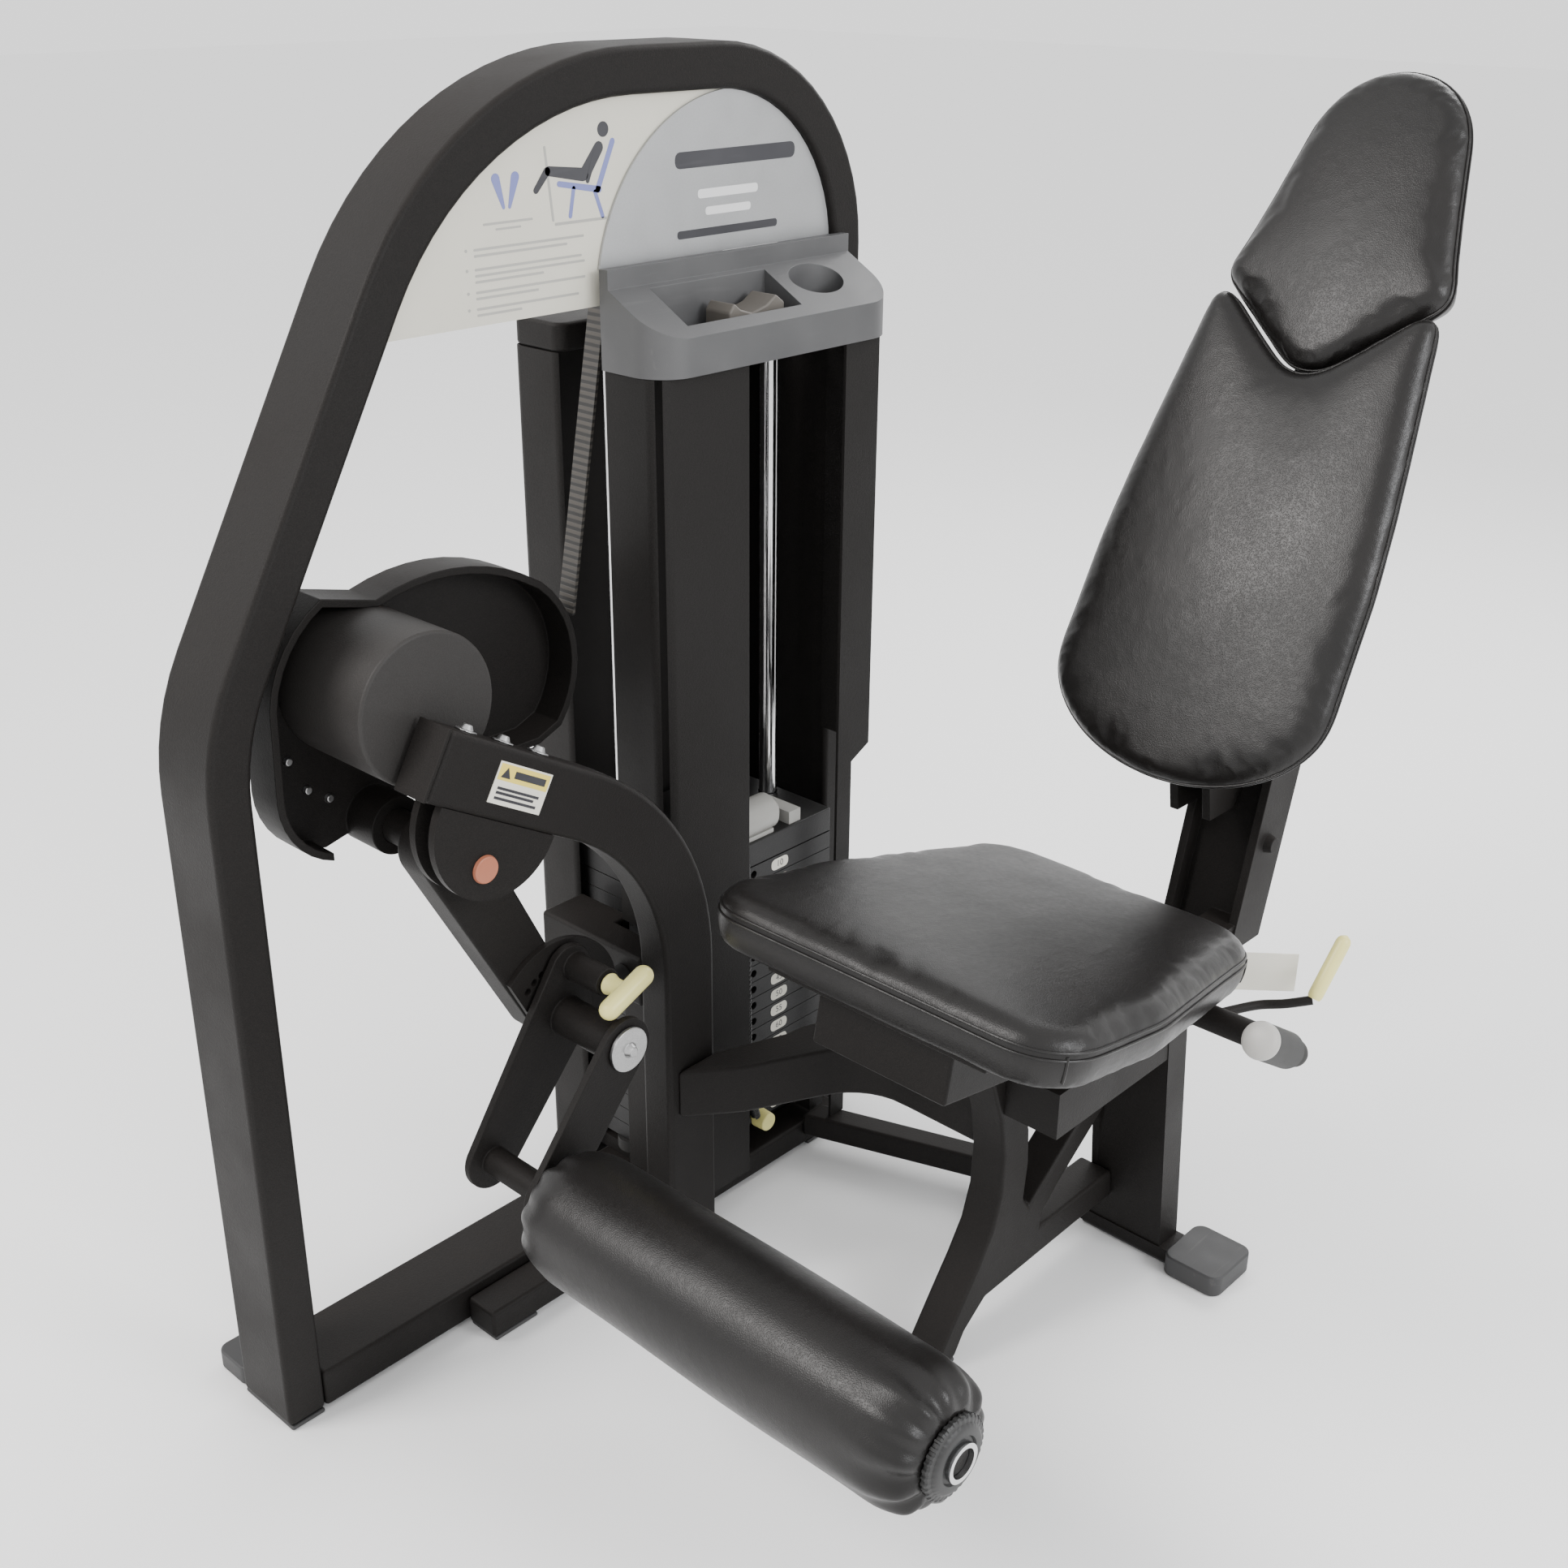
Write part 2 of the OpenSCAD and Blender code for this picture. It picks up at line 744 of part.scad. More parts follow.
module seat_pad() {
  color([0.1, 0.09, 0.085]) at_origin()
  on_seat() translate([0, 0, -seat_t]) {
    linear_extrude(height = 10) offset(-6) seat_outline();
    translate([0, 0, 10 - eps]) linear_extrude(height = seat_t - 30) seat_outline();
    translate([0, 0, seat_t - 20 - 2 * eps]) linear_extrude(height = 20)
      offset(-10) seat_outline();
  }
}

// outline of the lower back pad, X across and Y up the pad
module back_outline() {
  difference() {
    hull() {
      translate([0, 128]) scale([1, 0.667]) circle(r = 192);
      translate([0, 270]) square([376, 20], center = true);
      translate([0, 455]) square([338, 20], center = true);
      for (s = [-1, 1]) translate([s * 137, 586]) circle(r = 14);
    }
    // notch that follows the head pad
    translate([0, 522]) offset(delta = 6) head_outline();
  }
}

// outline of the head pad, from its rounded point up
module head_outline() {
  hull() {
    translate([0, 56]) circle(r = 56);
    for (s = [-1, 1]) translate([s * 122, 112]) circle(r = 24);
    translate([0, 271]) circle(r = 105);
  }
}

module back_pad() {
  color([0.1, 0.09, 0.085]) at_origin()
  on_back() rotate([90, 0, 0]) mirror([0, 0, 1]) {
    linear_extrude(height = 14) offset(-10) back_outline();
    translate([0, 0, 14 - eps]) linear_extrude(height = back_t - 38) back_outline();
    // the rear edge is drawn in under its piping
    translate([0, 0, back_t - 24 - 2 * eps]) linear_extrude(height = 24) offset(-16) back_outline();
  }
}

module head_pad() {
  color([0.1, 0.09, 0.085]) at_origin()
  on_back() translate([0, 12, 522]) rotate([90, 0, 0]) mirror([0, 0, 1]) {
    linear_extrude(height = 14) offset(-10) head_outline();
    translate([0, 0, 14 - eps]) linear_extrude(height = back_t - 14) head_outline();
  }
}

module slide_sleeve() {
  color([0.17, 0.165, 0.16]) at_origin()
  difference() {
    block([476, 725, 392 + gap], [560, 885, 452]);
    block([494 - 0.05, 720, 402 - 0.05], [542 + 0.05, 890, 440 + 0.05]);
  }
}

module back_carriage() {
  color([0.17, 0.165, 0.16]) at_origin() {
    block([494, 735, 402], [542, 1178, 440]);
    // post between two side plates
    slab(449 - eps, 84 + 2 * eps) polygon([[1132, 402], [1178, 402], [1240, 650], [1345, 1090],
      [1312, 1132], [1290, 1100], [1192, 650]]);
    for (x = [437, 533]) slab(x, 12) polygon([[1106, 402], [1180, 402], [1242, 650],
      [1262, 720], [1216, 720], [1165, 640], [1120, 455]]);
    // arms that carry the lower end of the pad
    for (x = [437, 485]) slab(x, 12) polygon([[1104, 580], [1092, 640], [1054, 757],
      [1104, 850], [1232, 850], [1222, 650], [1160, 580]]);
    // plates behind the pads
    on_back() translate([-90, back_t + gap, 70]) cube([184, 8, 390]);
    on_back() translate([-45, back_t + gap + 12, 560]) cube([90, 8, 230]);
    on_back() translate([-37, back_t + gap + 4, 400]) cube([74, 30, 40]);
    on_back() translate([-37, back_t + gap + 18, 380]) cube([74, 34, 380]);
    // bolt through the side plates
    rod_x(545 - eps, 556, 1172, 541, 13, 10);
  }
}

// ---------- handles, lever and signs ----------

module handle_frame() {
  color([0.17, 0.165, 0.16]) at_origin()
  translate([seat_x + 22, 855, 468 + gap])
    bent_rod([[-268, -40, 26], [-262, -10, 8], [-246, 0, 0], [246, 0, 0], [262, -10, 8],
      [268, -40, 26]], 15.9);
}

module handle_grips() {
  color([0.3, 0.3, 0.29]) at_origin()
  for (s = [-1, 1]) translate([seat_x + 22 + s * 268, 855 - 40, 468 + gap + 26])
    rotate([57, 0, 0]) translate([0, 0, 3]) cylinder(h = 73, r = 21);
}

module handle_caps() {
  color([0.78, 0.77, 0.75]) at_origin()
  for (s = [-1, 1]) translate([seat_x + 22 + s * 268, 855 - 40, 468 + gap + 26])
    rotate([57, 0, 0]) translate([0, 0, 76 + eps]) cylinder(h = 13, r1 = 21, r2 = 17);
}

module release_lever() {
  color([0.14, 0.14, 0.14]) at_origin() {
    rod_x(560 + gap, 606, 870, 425, 6);
    translate([0, 0, 421]) linear_extrude(height = 8)
      polygon([[594.5, 872.5], [605.5, 867.5], [656, 980], [692, 995], [688, 1006], [648, 989]]);
    rod_between([686, 998, 423.5], [706, 1020, 436], 6);
  }
}

module lever_grip() {
  color([0.92, 0.9, 0.55]) at_origin()
  bent_rod([[706.5, 1022.2, 439.5], [716, 1068, 512]], 9);
}

module signs() {
  color([0.93, 0.91, 0.75]) at_origin() {
    on_column_end() translate([col_near, 77, -22]) cube([0.8, 78, 46]);
    translate([640, 1022, 450]) rotate([0, 0, 40]) translate([-38, 0, -26]) cube([76, 2, 52]);
  }
}

// ---------- assembly ----------

loop_frame();
floor_tube();
feet();
pivot_column();
column_cap();
pivot_plates();
pivot_bearings();
cross_member();
arm_stop();
column_bolts();
cross_tube();
front_leg();
rear_post();
floor_brace();
seat_frame();
seat_pad();
cover_near_front();
cover_near_rear();
cover_far();
console();
console_saddle();
console_far();
placard_guide();
placard_title();
stack_base();
guide_rods();
rod_crosshead();
rod_bumpers();
pulley_axle();
top_pulley();
belt_run();
belt_drop();
main_shaft();
pivot_cap();
cam();
counterweight();
arm_tube();
sector_plate();
arm_bolts();
carrier();
pop_pin();
roller_tube();
roller_pad();
roller_cap();
weight_plates();
head_plate();
selector_rod();
add_on_weight();
selector_pin();
lanyard();
slide_sleeve();
back_carriage();
back_pad();
head_pad();
handle_frame();
handle_grips();
handle_caps();
release_lever();
lever_grip();
signs();
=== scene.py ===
# %% [markdown]
# # A leg extension machine, dressed around its engineering model
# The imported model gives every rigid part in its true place. This lesson adds what the
# engineering model leaves plain: rounded tube edges, powder coat, sewn vinyl cushions,
# a puckered roller cover, a ribbed belt, a coiled cord and printed plates.

# %% Load the frame
import json
import math
import bmesh
import bpy
import numpy as np
from mathutils import Matrix, Vector
from mathutils.bvhtree import BVHTree


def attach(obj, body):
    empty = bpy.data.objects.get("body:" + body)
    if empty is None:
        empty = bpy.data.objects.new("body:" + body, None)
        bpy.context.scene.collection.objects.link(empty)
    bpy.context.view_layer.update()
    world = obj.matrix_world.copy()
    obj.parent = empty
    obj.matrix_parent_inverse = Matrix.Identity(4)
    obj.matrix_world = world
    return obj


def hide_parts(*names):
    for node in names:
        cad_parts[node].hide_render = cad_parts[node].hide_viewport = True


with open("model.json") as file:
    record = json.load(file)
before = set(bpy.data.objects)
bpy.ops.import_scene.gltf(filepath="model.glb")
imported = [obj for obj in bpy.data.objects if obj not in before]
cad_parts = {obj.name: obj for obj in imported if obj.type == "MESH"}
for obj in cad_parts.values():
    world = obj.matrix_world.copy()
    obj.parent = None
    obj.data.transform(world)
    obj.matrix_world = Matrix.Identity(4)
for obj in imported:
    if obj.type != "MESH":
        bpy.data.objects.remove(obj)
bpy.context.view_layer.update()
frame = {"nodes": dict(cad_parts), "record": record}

# %% [markdown]
# ## Camera
# A machine this size is looked at from a little above head height. The camera is given
# by its place and two turns, then a small roll, and its matrix is set in one go.

# %% Camera
CORNER = np.array([0.307, 0.71446, 0.0])


def at(x, y, z):
    """A point of the drawing, in millimetres from the loop's front foot, as metres in the row frame."""
    return np.array([x, y, z]) / 1000.0 - CORNER


def camera_axes(yaw, pitch, roll):
    """Right, up and back of a camera turned by yaw about Z, tipped down by pitch and then rolled."""
    a, e, r = np.radians([yaw, pitch, roll])
    back = np.array([np.sin(a) * np.cos(e), -np.cos(a) * np.cos(e), np.sin(e)])
    right = np.array([np.cos(a), np.sin(a), 0.0])
    up = np.cross(back, right)
    return right * np.cos(r) + up * np.sin(r), up * np.cos(r) - right * np.sin(r), back


cam_data = bpy.data.cameras.new("camera")
cam_data.sensor_width = 36.0
cam_data.lens = 42.99
camera = bpy.data.objects.new("camera", cam_data)
bpy.context.scene.collection.objects.link(camera)
right, up, back = camera_axes(42.8, 24.5, 0.47)
turn = np.eye(4)
turn[:3, 0], turn[:3, 1], turn[:3, 2], turn[:3, 3] = right, up, back, at(1564, -850, 1611)
camera.matrix_world = Matrix(turn.tolist())
bpy.context.scene.camera = camera
print("camera at", np.round(turn[:3, 3], 3))

# %% [markdown]
# ## Mesh helpers
# Every new piece is a sheet of points worked out with numpy. One helper turns a grid of
# points into a mesh, one carries a circle along a path, and one copies a rigid part and
# rounds its edges, because no painted tube has an edge as sharp as a drawing's.

# %% Grid, path and copy helpers


def add_object(name, mesh, material=None):
    """Links a mesh as an object at the origin, with one material."""
    obj = bpy.data.objects.new(name, mesh)
    bpy.context.scene.collection.objects.link(obj)
    if material is not None:
        mesh.materials.clear()
        mesh.materials.append(material)
    return obj


def grid_mesh(name, points, wrap_rows=False, wrap_cols=True):
    """A mesh from points[row, col]: each cell of the grid is one quad, wrapping where asked."""
    rows, cols = points.shape[:2]
    r = np.arange(rows if wrap_rows else rows - 1)
    c = np.arange(cols if wrap_cols else cols - 1)
    rr, cc = np.meshgrid(r, c, indexing="ij")
    r2, c2 = (rr + 1) % rows, (cc + 1) % cols
    quads = np.stack([rr * cols + cc, rr * cols + c2, r2 * cols + c2, r2 * cols + cc], -1).reshape(-1, 4)
    mesh = bpy.data.meshes.new(name)
    mesh.from_pydata(points.reshape(-1, 3).tolist(), [], quads.tolist())
    return mesh


def tidy(mesh, merge=1e-5, smooth=True, angle=40.0, outward=True):
    """Merges doubles, points the faces outwards and shades smooth below an angle."""
    bm = bmesh.new()
    bm.from_mesh(mesh)
    bmesh.ops.remove_doubles(bm, verts=bm.verts, dist=merge)
    bmesh.ops.dissolve_degenerate(bm, edges=bm.edges, dist=1e-7)
    if outward:
        bmesh.ops.recalc_face_normals(bm, faces=bm.faces)
    bm.to_mesh(mesh)
    bm.free()
    if smooth:
        mesh.shade_smooth()
        mesh.set_sharp_from_angle(angle=math.radians(angle))
    return mesh


def path_frames(path):
    """Tangents and two side vectors along a path; each side vector is the last one with the new
    tangent's part taken out, so a tube carried along does not twist."""
    tangent = np.gradient(path, axis=0)
    tangent /= np.linalg.norm(tangent, axis=1)[:, None]
    side = np.cross(tangent[0], [0.13, 0.21, 0.97])
    side /= np.linalg.norm(side)
    sides = np.empty_like(path)
    for i, t in enumerate(tangent):
        side = side - t * (side @ t)
        side /= np.linalg.norm(side)
        sides[i] = side
    return tangent, sides, np.cross(tangent, sides)


def smooth_path(points, count):
    """A Catmull-Rom curve through the points: each span is the cubic whose slopes at its ends are
    half the step from the point before to the point after."""
    p = np.asarray(points, float)
    p = np.vstack([2 * p[0] - p[1], p, 2 * p[-1] - p[-2]])
    t = np.linspace(0, len(p) - 3 - 1e-9, count)
    i = t.astype(int)
    f = (t - i)[:, None]
    a, b, c, d = p[i], p[i + 1], p[i + 2], p[i + 3]
    return 0.5 * (2 * b + (c - a) * f + (2 * a - 5 * b + 4 * c - d) * f ** 2 + (3 * b - a - 3 * c + d) * f ** 3)


def tube(name, path, radii, sides=24, flat=1.0):
    """A closed tube: at each point of the path a circle of that radius, with a point at both ends."""
    path = np.asarray(path, float)
    radii = np.broadcast_to(np.asarray(radii, float), len(path))
    _, u, v = path_frames(path)
    a = np.linspace(0, 2 * np.pi, sides, endpoint=False)
    ring = np.cos(a)[None, :, None] * u[:, None] + flat * np.sin(a)[None, :, None] * v[:, None]
    body = path[:, None] + ring * radii[:, None, None]
    ends = [np.repeat(path[k][None, None], sides, 1) for k in (0, -1)]
    return tidy(grid_mesh(name, np.concatenate([ends[0], body, ends[1]])))


def rounded(node, width, material, segments=3, angle=32.0):
    """A copy of a rigid part with its doubles merged, its flat faces joined and its edges rounded
    to a width in millimetres. It rides with the part's own body and stands for it."""
    source = frame["nodes"][node]
    mesh = source.data.copy()
    bm = bmesh.new()
    bm.from_mesh(mesh)
    bmesh.ops.remove_doubles(bm, verts=bm.verts, dist=2e-5)
    bmesh.ops.dissolve_limit(bm, angle_limit=math.radians(0.6), verts=bm.verts, edges=bm.edges)
    bm.to_mesh(mesh)
    bm.free()
    for name in [a.name for a in mesh.attributes if a.name == "custom_normal"]:
        mesh.attributes.remove(mesh.attributes[name])
    mesh.shade_smooth()
    mesh.set_sharp_from_angle(angle=math.radians(angle))
    obj = add_object(node + ".rounded", mesh, material)
    bevel = obj.modifiers.new("edge", "BEVEL")
    bevel.width = width / 1000.0
    bevel.segments = segments
    bevel.limit_method = "ANGLE"
    bevel.angle_limit = math.radians(angle)
    bevel.harden_normals = True
    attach(obj, body_named(node))
    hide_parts(node)
    return obj


def body_named(node):
    """The body that holds a node."""
    bodies = frame["record"]["behaviour"]["bodies"]
    return next(body for body, members in bodies.items() if node in members)


def piece(obj, body, slot, *nodes):
    """Rides a new piece on a body and hides the nodes it stands for; the slot is not used."""
    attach(obj, body)
    if nodes:
        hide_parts(*nodes)
    return obj


print("helpers ready")

# %% [markdown]
# ## Finishes
# Four effects are shared by many finishes, so each is a node group: the orange-peel of
# powder coat, the pores and creases of vinyl, the fine texture of moulded plastic, and
# the streaks of worked metal. A group gives colours, a roughness and a height only; the
# shader stays in the material.

# %% Node group helpers


def new_group(name, inputs, outputs):
    """An empty shader node group with named sockets, and its input and output nodes."""
    group = bpy.data.node_groups.new(name, "ShaderNodeTree")
    for socket, kind, value in inputs:
        s = group.interface.new_socket(name=socket, in_out="INPUT", socket_type=kind)
        if value is not None:
            s.default_value = value
    for socket, kind in outputs:
        group.interface.new_socket(name=socket, in_out="OUTPUT", socket_type=kind)
    return group, group.nodes.new("NodeGroupInput"), group.nodes.new("NodeGroupOutput")


def math_node(tree, operation, a, b=None, clamp=False):
    """One Math node; a and b are sockets or numbers."""
    node = tree.nodes.new("ShaderNodeMath")
    node.operation = operation
    node.use_clamp = clamp
    for i, value in enumerate((a, b)):
        if value is None:
            continue
        if isinstance(value, (int, float)):
            node.inputs[i].default_value = value
        else:
            tree.links.new(value, node.inputs[i])
    return node.outputs[0]


def noise_node(tree, place, scale, detail=3.0, rough=0.55, stretch=None):
    """Noise on a vector, with the vector stretched first if asked."""
    if stretch is not None:
        m = tree.nodes.new("ShaderNodeMapping")
        m.inputs["Scale"].default_value = stretch
        tree.links.new(place, m.inputs["Vector"])
        place = m.outputs[0]
    n = tree.nodes.new("ShaderNodeTexNoise")
    n.inputs["Scale"].default_value = scale
    n.inputs["Detail"].default_value = detail
    n.inputs["Roughness"].default_value = rough
    tree.links.new(place, n.inputs["Vector"])
    return n.outputs["Fac"]


def span(tree, value, low, high, to_low, to_high):
    """Map Range: value from low..high to to_low..to_high, clamped."""
    n = tree.nodes.new("ShaderNodeMapRange")
    n.inputs["From Min"].default_value = low
    n.inputs["From Max"].default_value = high
    for socket, v in (("To Min", to_low), ("To Max", to_high)):
        if isinstance(v, (int, float)):
            n.inputs[socket].default_value = v
        else:
            tree.links.new(v, n.inputs[socket])
    tree.links.new(value, n.inputs["Value"])
    return n.outputs[0]


def mix_colour(tree, factor, a, b):
    """Mix two colours, each a socket or a value."""
    n = tree.nodes.new("ShaderNodeMix")
    n.data_type = "RGBA"
    for socket, v in ((n.inputs["Factor"], factor), (n.inputs[6], a), (n.inputs[7], b)):
        if isinstance(v, (int, float)):
            socket.default_value = v
        elif isinstance(v, (tuple, list)):
            socket.default_value = (*v, 1.0) if len(v) == 3 else v
        else:
            tree.links.new(v, socket)
    return n.outputs[2]


COLOUR = "NodeSocketColor"
NUMBER = "NodeSocketFloat"
PLACE = "NodeSocketVector"

# %% Powder coat


def make_powder_coat():
    """Colour is the base with slow cloudy change, light flecks and painted light from above on faces that look up,
    broken up by the clouds; roughness follows the clouds; height is fine orange-peel plus a coarser ripple."""
    g, i, o = new_group(
        "powder_coat",
        [("Place", PLACE, None), ("Base", COLOUR, (0.03, 0.029, 0.028, 1)), ("Dust", COLOUR, (0.1, 0.09, 0.085, 1)),
         ("Dust Amount", NUMBER, 0.3), ("Rough Low", NUMBER, 0.42), ("Rough High", NUMBER, 0.6)],
        [("Colour", COLOUR), ("Roughness", NUMBER), ("Height", NUMBER)])
    clouds = noise_node(g, i.outputs["Place"], 5.0, 4.0)
    speckle = noise_node(g, i.outputs["Place"], 900.0, 1.0)
    ripple = noise_node(g, i.outputs["Place"], 300.0, 2.0)
    geometry = g.nodes.new("ShaderNodeNewGeometry")
    split = g.nodes.new("ShaderNodeSeparateXYZ")
    g.links.new(geometry.outputs["Normal"], split.inputs[0])
    # Painted light from above: the more a face looks up, the more it is mixed towards the lighter colour.
    upward = span(g, split.outputs["Z"], 0.2, 1.0, 0.0, 1.0)
    top_lit = math_node(g, "MULTIPLY", upward, span(g, clouds, 0.35, 0.7, 0.3, 1.0))
    amount = math_node(g, "MULTIPLY", top_lit, i.outputs["Dust Amount"])
    fleck = span(g, speckle, 0.35, 0.75, 0.0, 0.22)
    base = mix_colour(g, fleck, i.outputs["Base"], i.outputs["Dust"])
    g.links.new(mix_colour(g, amount, base, i.outputs["Dust"]), o.inputs["Colour"])
    g.links.new(span(g, clouds, 0.3, 0.7, i.outputs["Rough Low"], i.outputs["Rough High"]), o.inputs["Roughness"])
    height = math_node(g, "ADD", speckle, math_node(g, "MULTIPLY", ripple, 0.8))
    g.links.new(height, o.inputs["Height"])
    return g


def make_vinyl_grain():
    """Pores are the distance to cell borders of a fine cell pattern; creases are stretched noise
    raised to a power; shine changes slowly, where the cover is rubbed by use."""
    g, i, o = new_group(
        "vinyl_grain",
        [("Place", PLACE, None), ("Base", COLOUR, (0.02, 0.019, 0.018, 1)), ("Rubbed", COLOUR, (0.05, 0.045, 0.042, 1)),
         ("Cell", NUMBER, 700.0)],
        [("Colour", COLOUR), ("Roughness", NUMBER), ("Height", NUMBER)])
    cells = g.nodes.new("ShaderNodeTexVoronoi")
    g.links.new(i.outputs["Place"], cells.inputs["Vector"])
    g.links.new(i.outputs["Cell"], cells.inputs["Scale"])
    pores = span(g, cells.outputs["Distance"], 0.05, 0.6, 1.0, 0.0)
    crease = noise_node(g, i.outputs["Place"], 42.0, 3.0, 0.5, (1.0, 0.45, 1.0))
    folds = math_node(g, "POWER", crease, 3.0)
    rubs = noise_node(g, i.outputs["Place"], 6.5, 3.0)
    fine = noise_node(g, i.outputs["Place"], 160.0, 2.0)
    g.links.new(mix_colour(g, span(g, rubs, 0.4, 0.72, 0.0, 0.8), i.outputs["Base"], i.outputs["Rubbed"]), o.inputs["Colour"])
    rough = math_node(g, "ADD", span(g, rubs, 0.3, 0.7, 0.34, 0.24), math_node(g, "MULTIPLY", fine, 0.14))
    g.links.new(rough, o.inputs["Roughness"])
    height = math_node(g, "ADD", math_node(g, "MULTIPLY", pores, 0.35), math_node(g, "MULTIPLY", folds, 2.2))
    g.links.new(height, o.inputs["Height"])
    return g


def make_moulded():
    """Moulded plastic or rubber: a spark-eroded fine texture, faint blotches and small scuffs."""
    g, i, o = new_group(
        "moulded",
        [("Place", PLACE, None), ("Base", COLOUR, (0.3, 0.3, 0.3, 1)), ("Scuff", COLOUR, (0.5, 0.5, 0.5, 1)),
         ("Scuff Amount", NUMBER, 0.25), ("Rough Low", NUMBER, 0.4), ("Rough High", NUMBER, 0.6)],
        [("Colour", COLOUR), ("Roughness", NUMBER), ("Height", NUMBER)])
    fine = noise_node(g, i.outputs["Place"], 1400.0, 1.0)
    blotch = noise_node(g, i.outputs["Place"], 14.0, 4.0)
    scratch = noise_node(g, i.outputs["Place"], 120.0, 2.0, 0.6, (1.0, 0.06, 0.5))
    scuff = math_node(g, "MULTIPLY", span(g, scratch, 0.62, 0.75, 0.0, 1.0), i.outputs["Scuff Amount"])
    shade = mix_colour(g, span(g, blotch, 0.3, 0.7, 0.0, 0.16), i.outputs["Base"], i.outputs["Scuff"])
    g.links.new(mix_colour(g, scuff, shade, i.outputs["Scuff"]), o.inputs["Colour"])
    g.links.new(span(g, blotch, 0.3, 0.7, i.outputs["Rough Low"], i.outputs["Rough High"]), o.inputs["Roughness"])
    g.links.new(fine, o.inputs["Height"])
    return g


def make_worked_metal():
    """Fine streaks along X, with finger smudges that change the roughness."""
    g, i, o = new_group(
        "worked_metal",
        [("Place", PLACE, None), ("Base", COLOUR, (0.6, 0.6, 0.6, 1)), ("Shade", COLOUR, (0.35, 0.35, 0.35, 1)),
         ("Rough Low", NUMBER, 0.2), ("Rough High", NUMBER, 0.4)],
        [("Colour", COLOUR), ("Roughness", NUMBER), ("Height", NUMBER)])
    streak = noise_node(g, i.outputs["Place"], 90.0, 3.0, 0.6, (0.4, 9.0, 9.0))
    smudge = noise_node(g, i.outputs["Place"], 25.0, 3.0)
    g.links.new(mix_colour(g, span(g, streak, 0.35, 0.7, 0.0, 0.6), i.outputs["Base"], i.outputs["Shade"]), o.inputs["Colour"])
    g.links.new(span(g, smudge, 0.3, 0.7, i.outputs["Rough Low"], i.outputs["Rough High"]), o.inputs["Roughness"])
    g.links.new(streak, o.inputs["Height"])
    return g


GROUPS = {"coat": make_powder_coat(), "vinyl": make_vinyl_grain(), "moulded": make_moulded(), "metal": make_worked_metal()}
print("groups", sorted(g.name for g in GROUPS.values()))

# %% [markdown]
# Each finish is then one call: which group, its values, how deep its bumps are, and the
# plain numbers that stay on the shader, such as how metallic it is.

# %% Finishes


def finish_of(name, group, values, bump=0.0003, strength=0.5, metallic=0.0, **shader):
    """A material: object coordinates into a shared group, and the group into one shader."""
    mat = bpy.data.materials.new(name)
    mat.use_nodes = True
    t = mat.node_tree
    t.nodes.clear()
    out = t.nodes.new("ShaderNodeOutputMaterial")
    bsdf = t.nodes.new("ShaderNodeBsdfPrincipled")
    t.links.new(bsdf.outputs[0], out.inputs[0])
    place = t.nodes.new("ShaderNodeTexCoord").outputs["Object"]
    node = t.nodes.new("ShaderNodeGroup")
    node.node_tree = GROUPS[group]
    t.links.new(place, node.inputs["Place"])
    for socket, value in values.items():
        node.inputs[socket].default_value = (*value, 1.0) if isinstance(value, tuple) else value
    t.links.new(node.outputs["Colour"], bsdf.inputs["Base Color"])
    t.links.new(node.outputs["Roughness"], bsdf.inputs["Roughness"])
    b = t.nodes.new("ShaderNodeBump")
    b.inputs["Strength"].default_value = strength
    b.inputs["Distance"].default_value = bump
    t.links.new(node.outputs["Height"], b.inputs["Height"])
    t.links.new(b.outputs[0], bsdf.inputs["Normal"])
    bsdf.inputs["Metallic"].default_value = metallic
    for socket, value in shader.items():
        bsdf.inputs[socket.replace("_", " ")].default_value = value
    mat.diffuse_color = (*values["Base"], 1.0)
    return mat


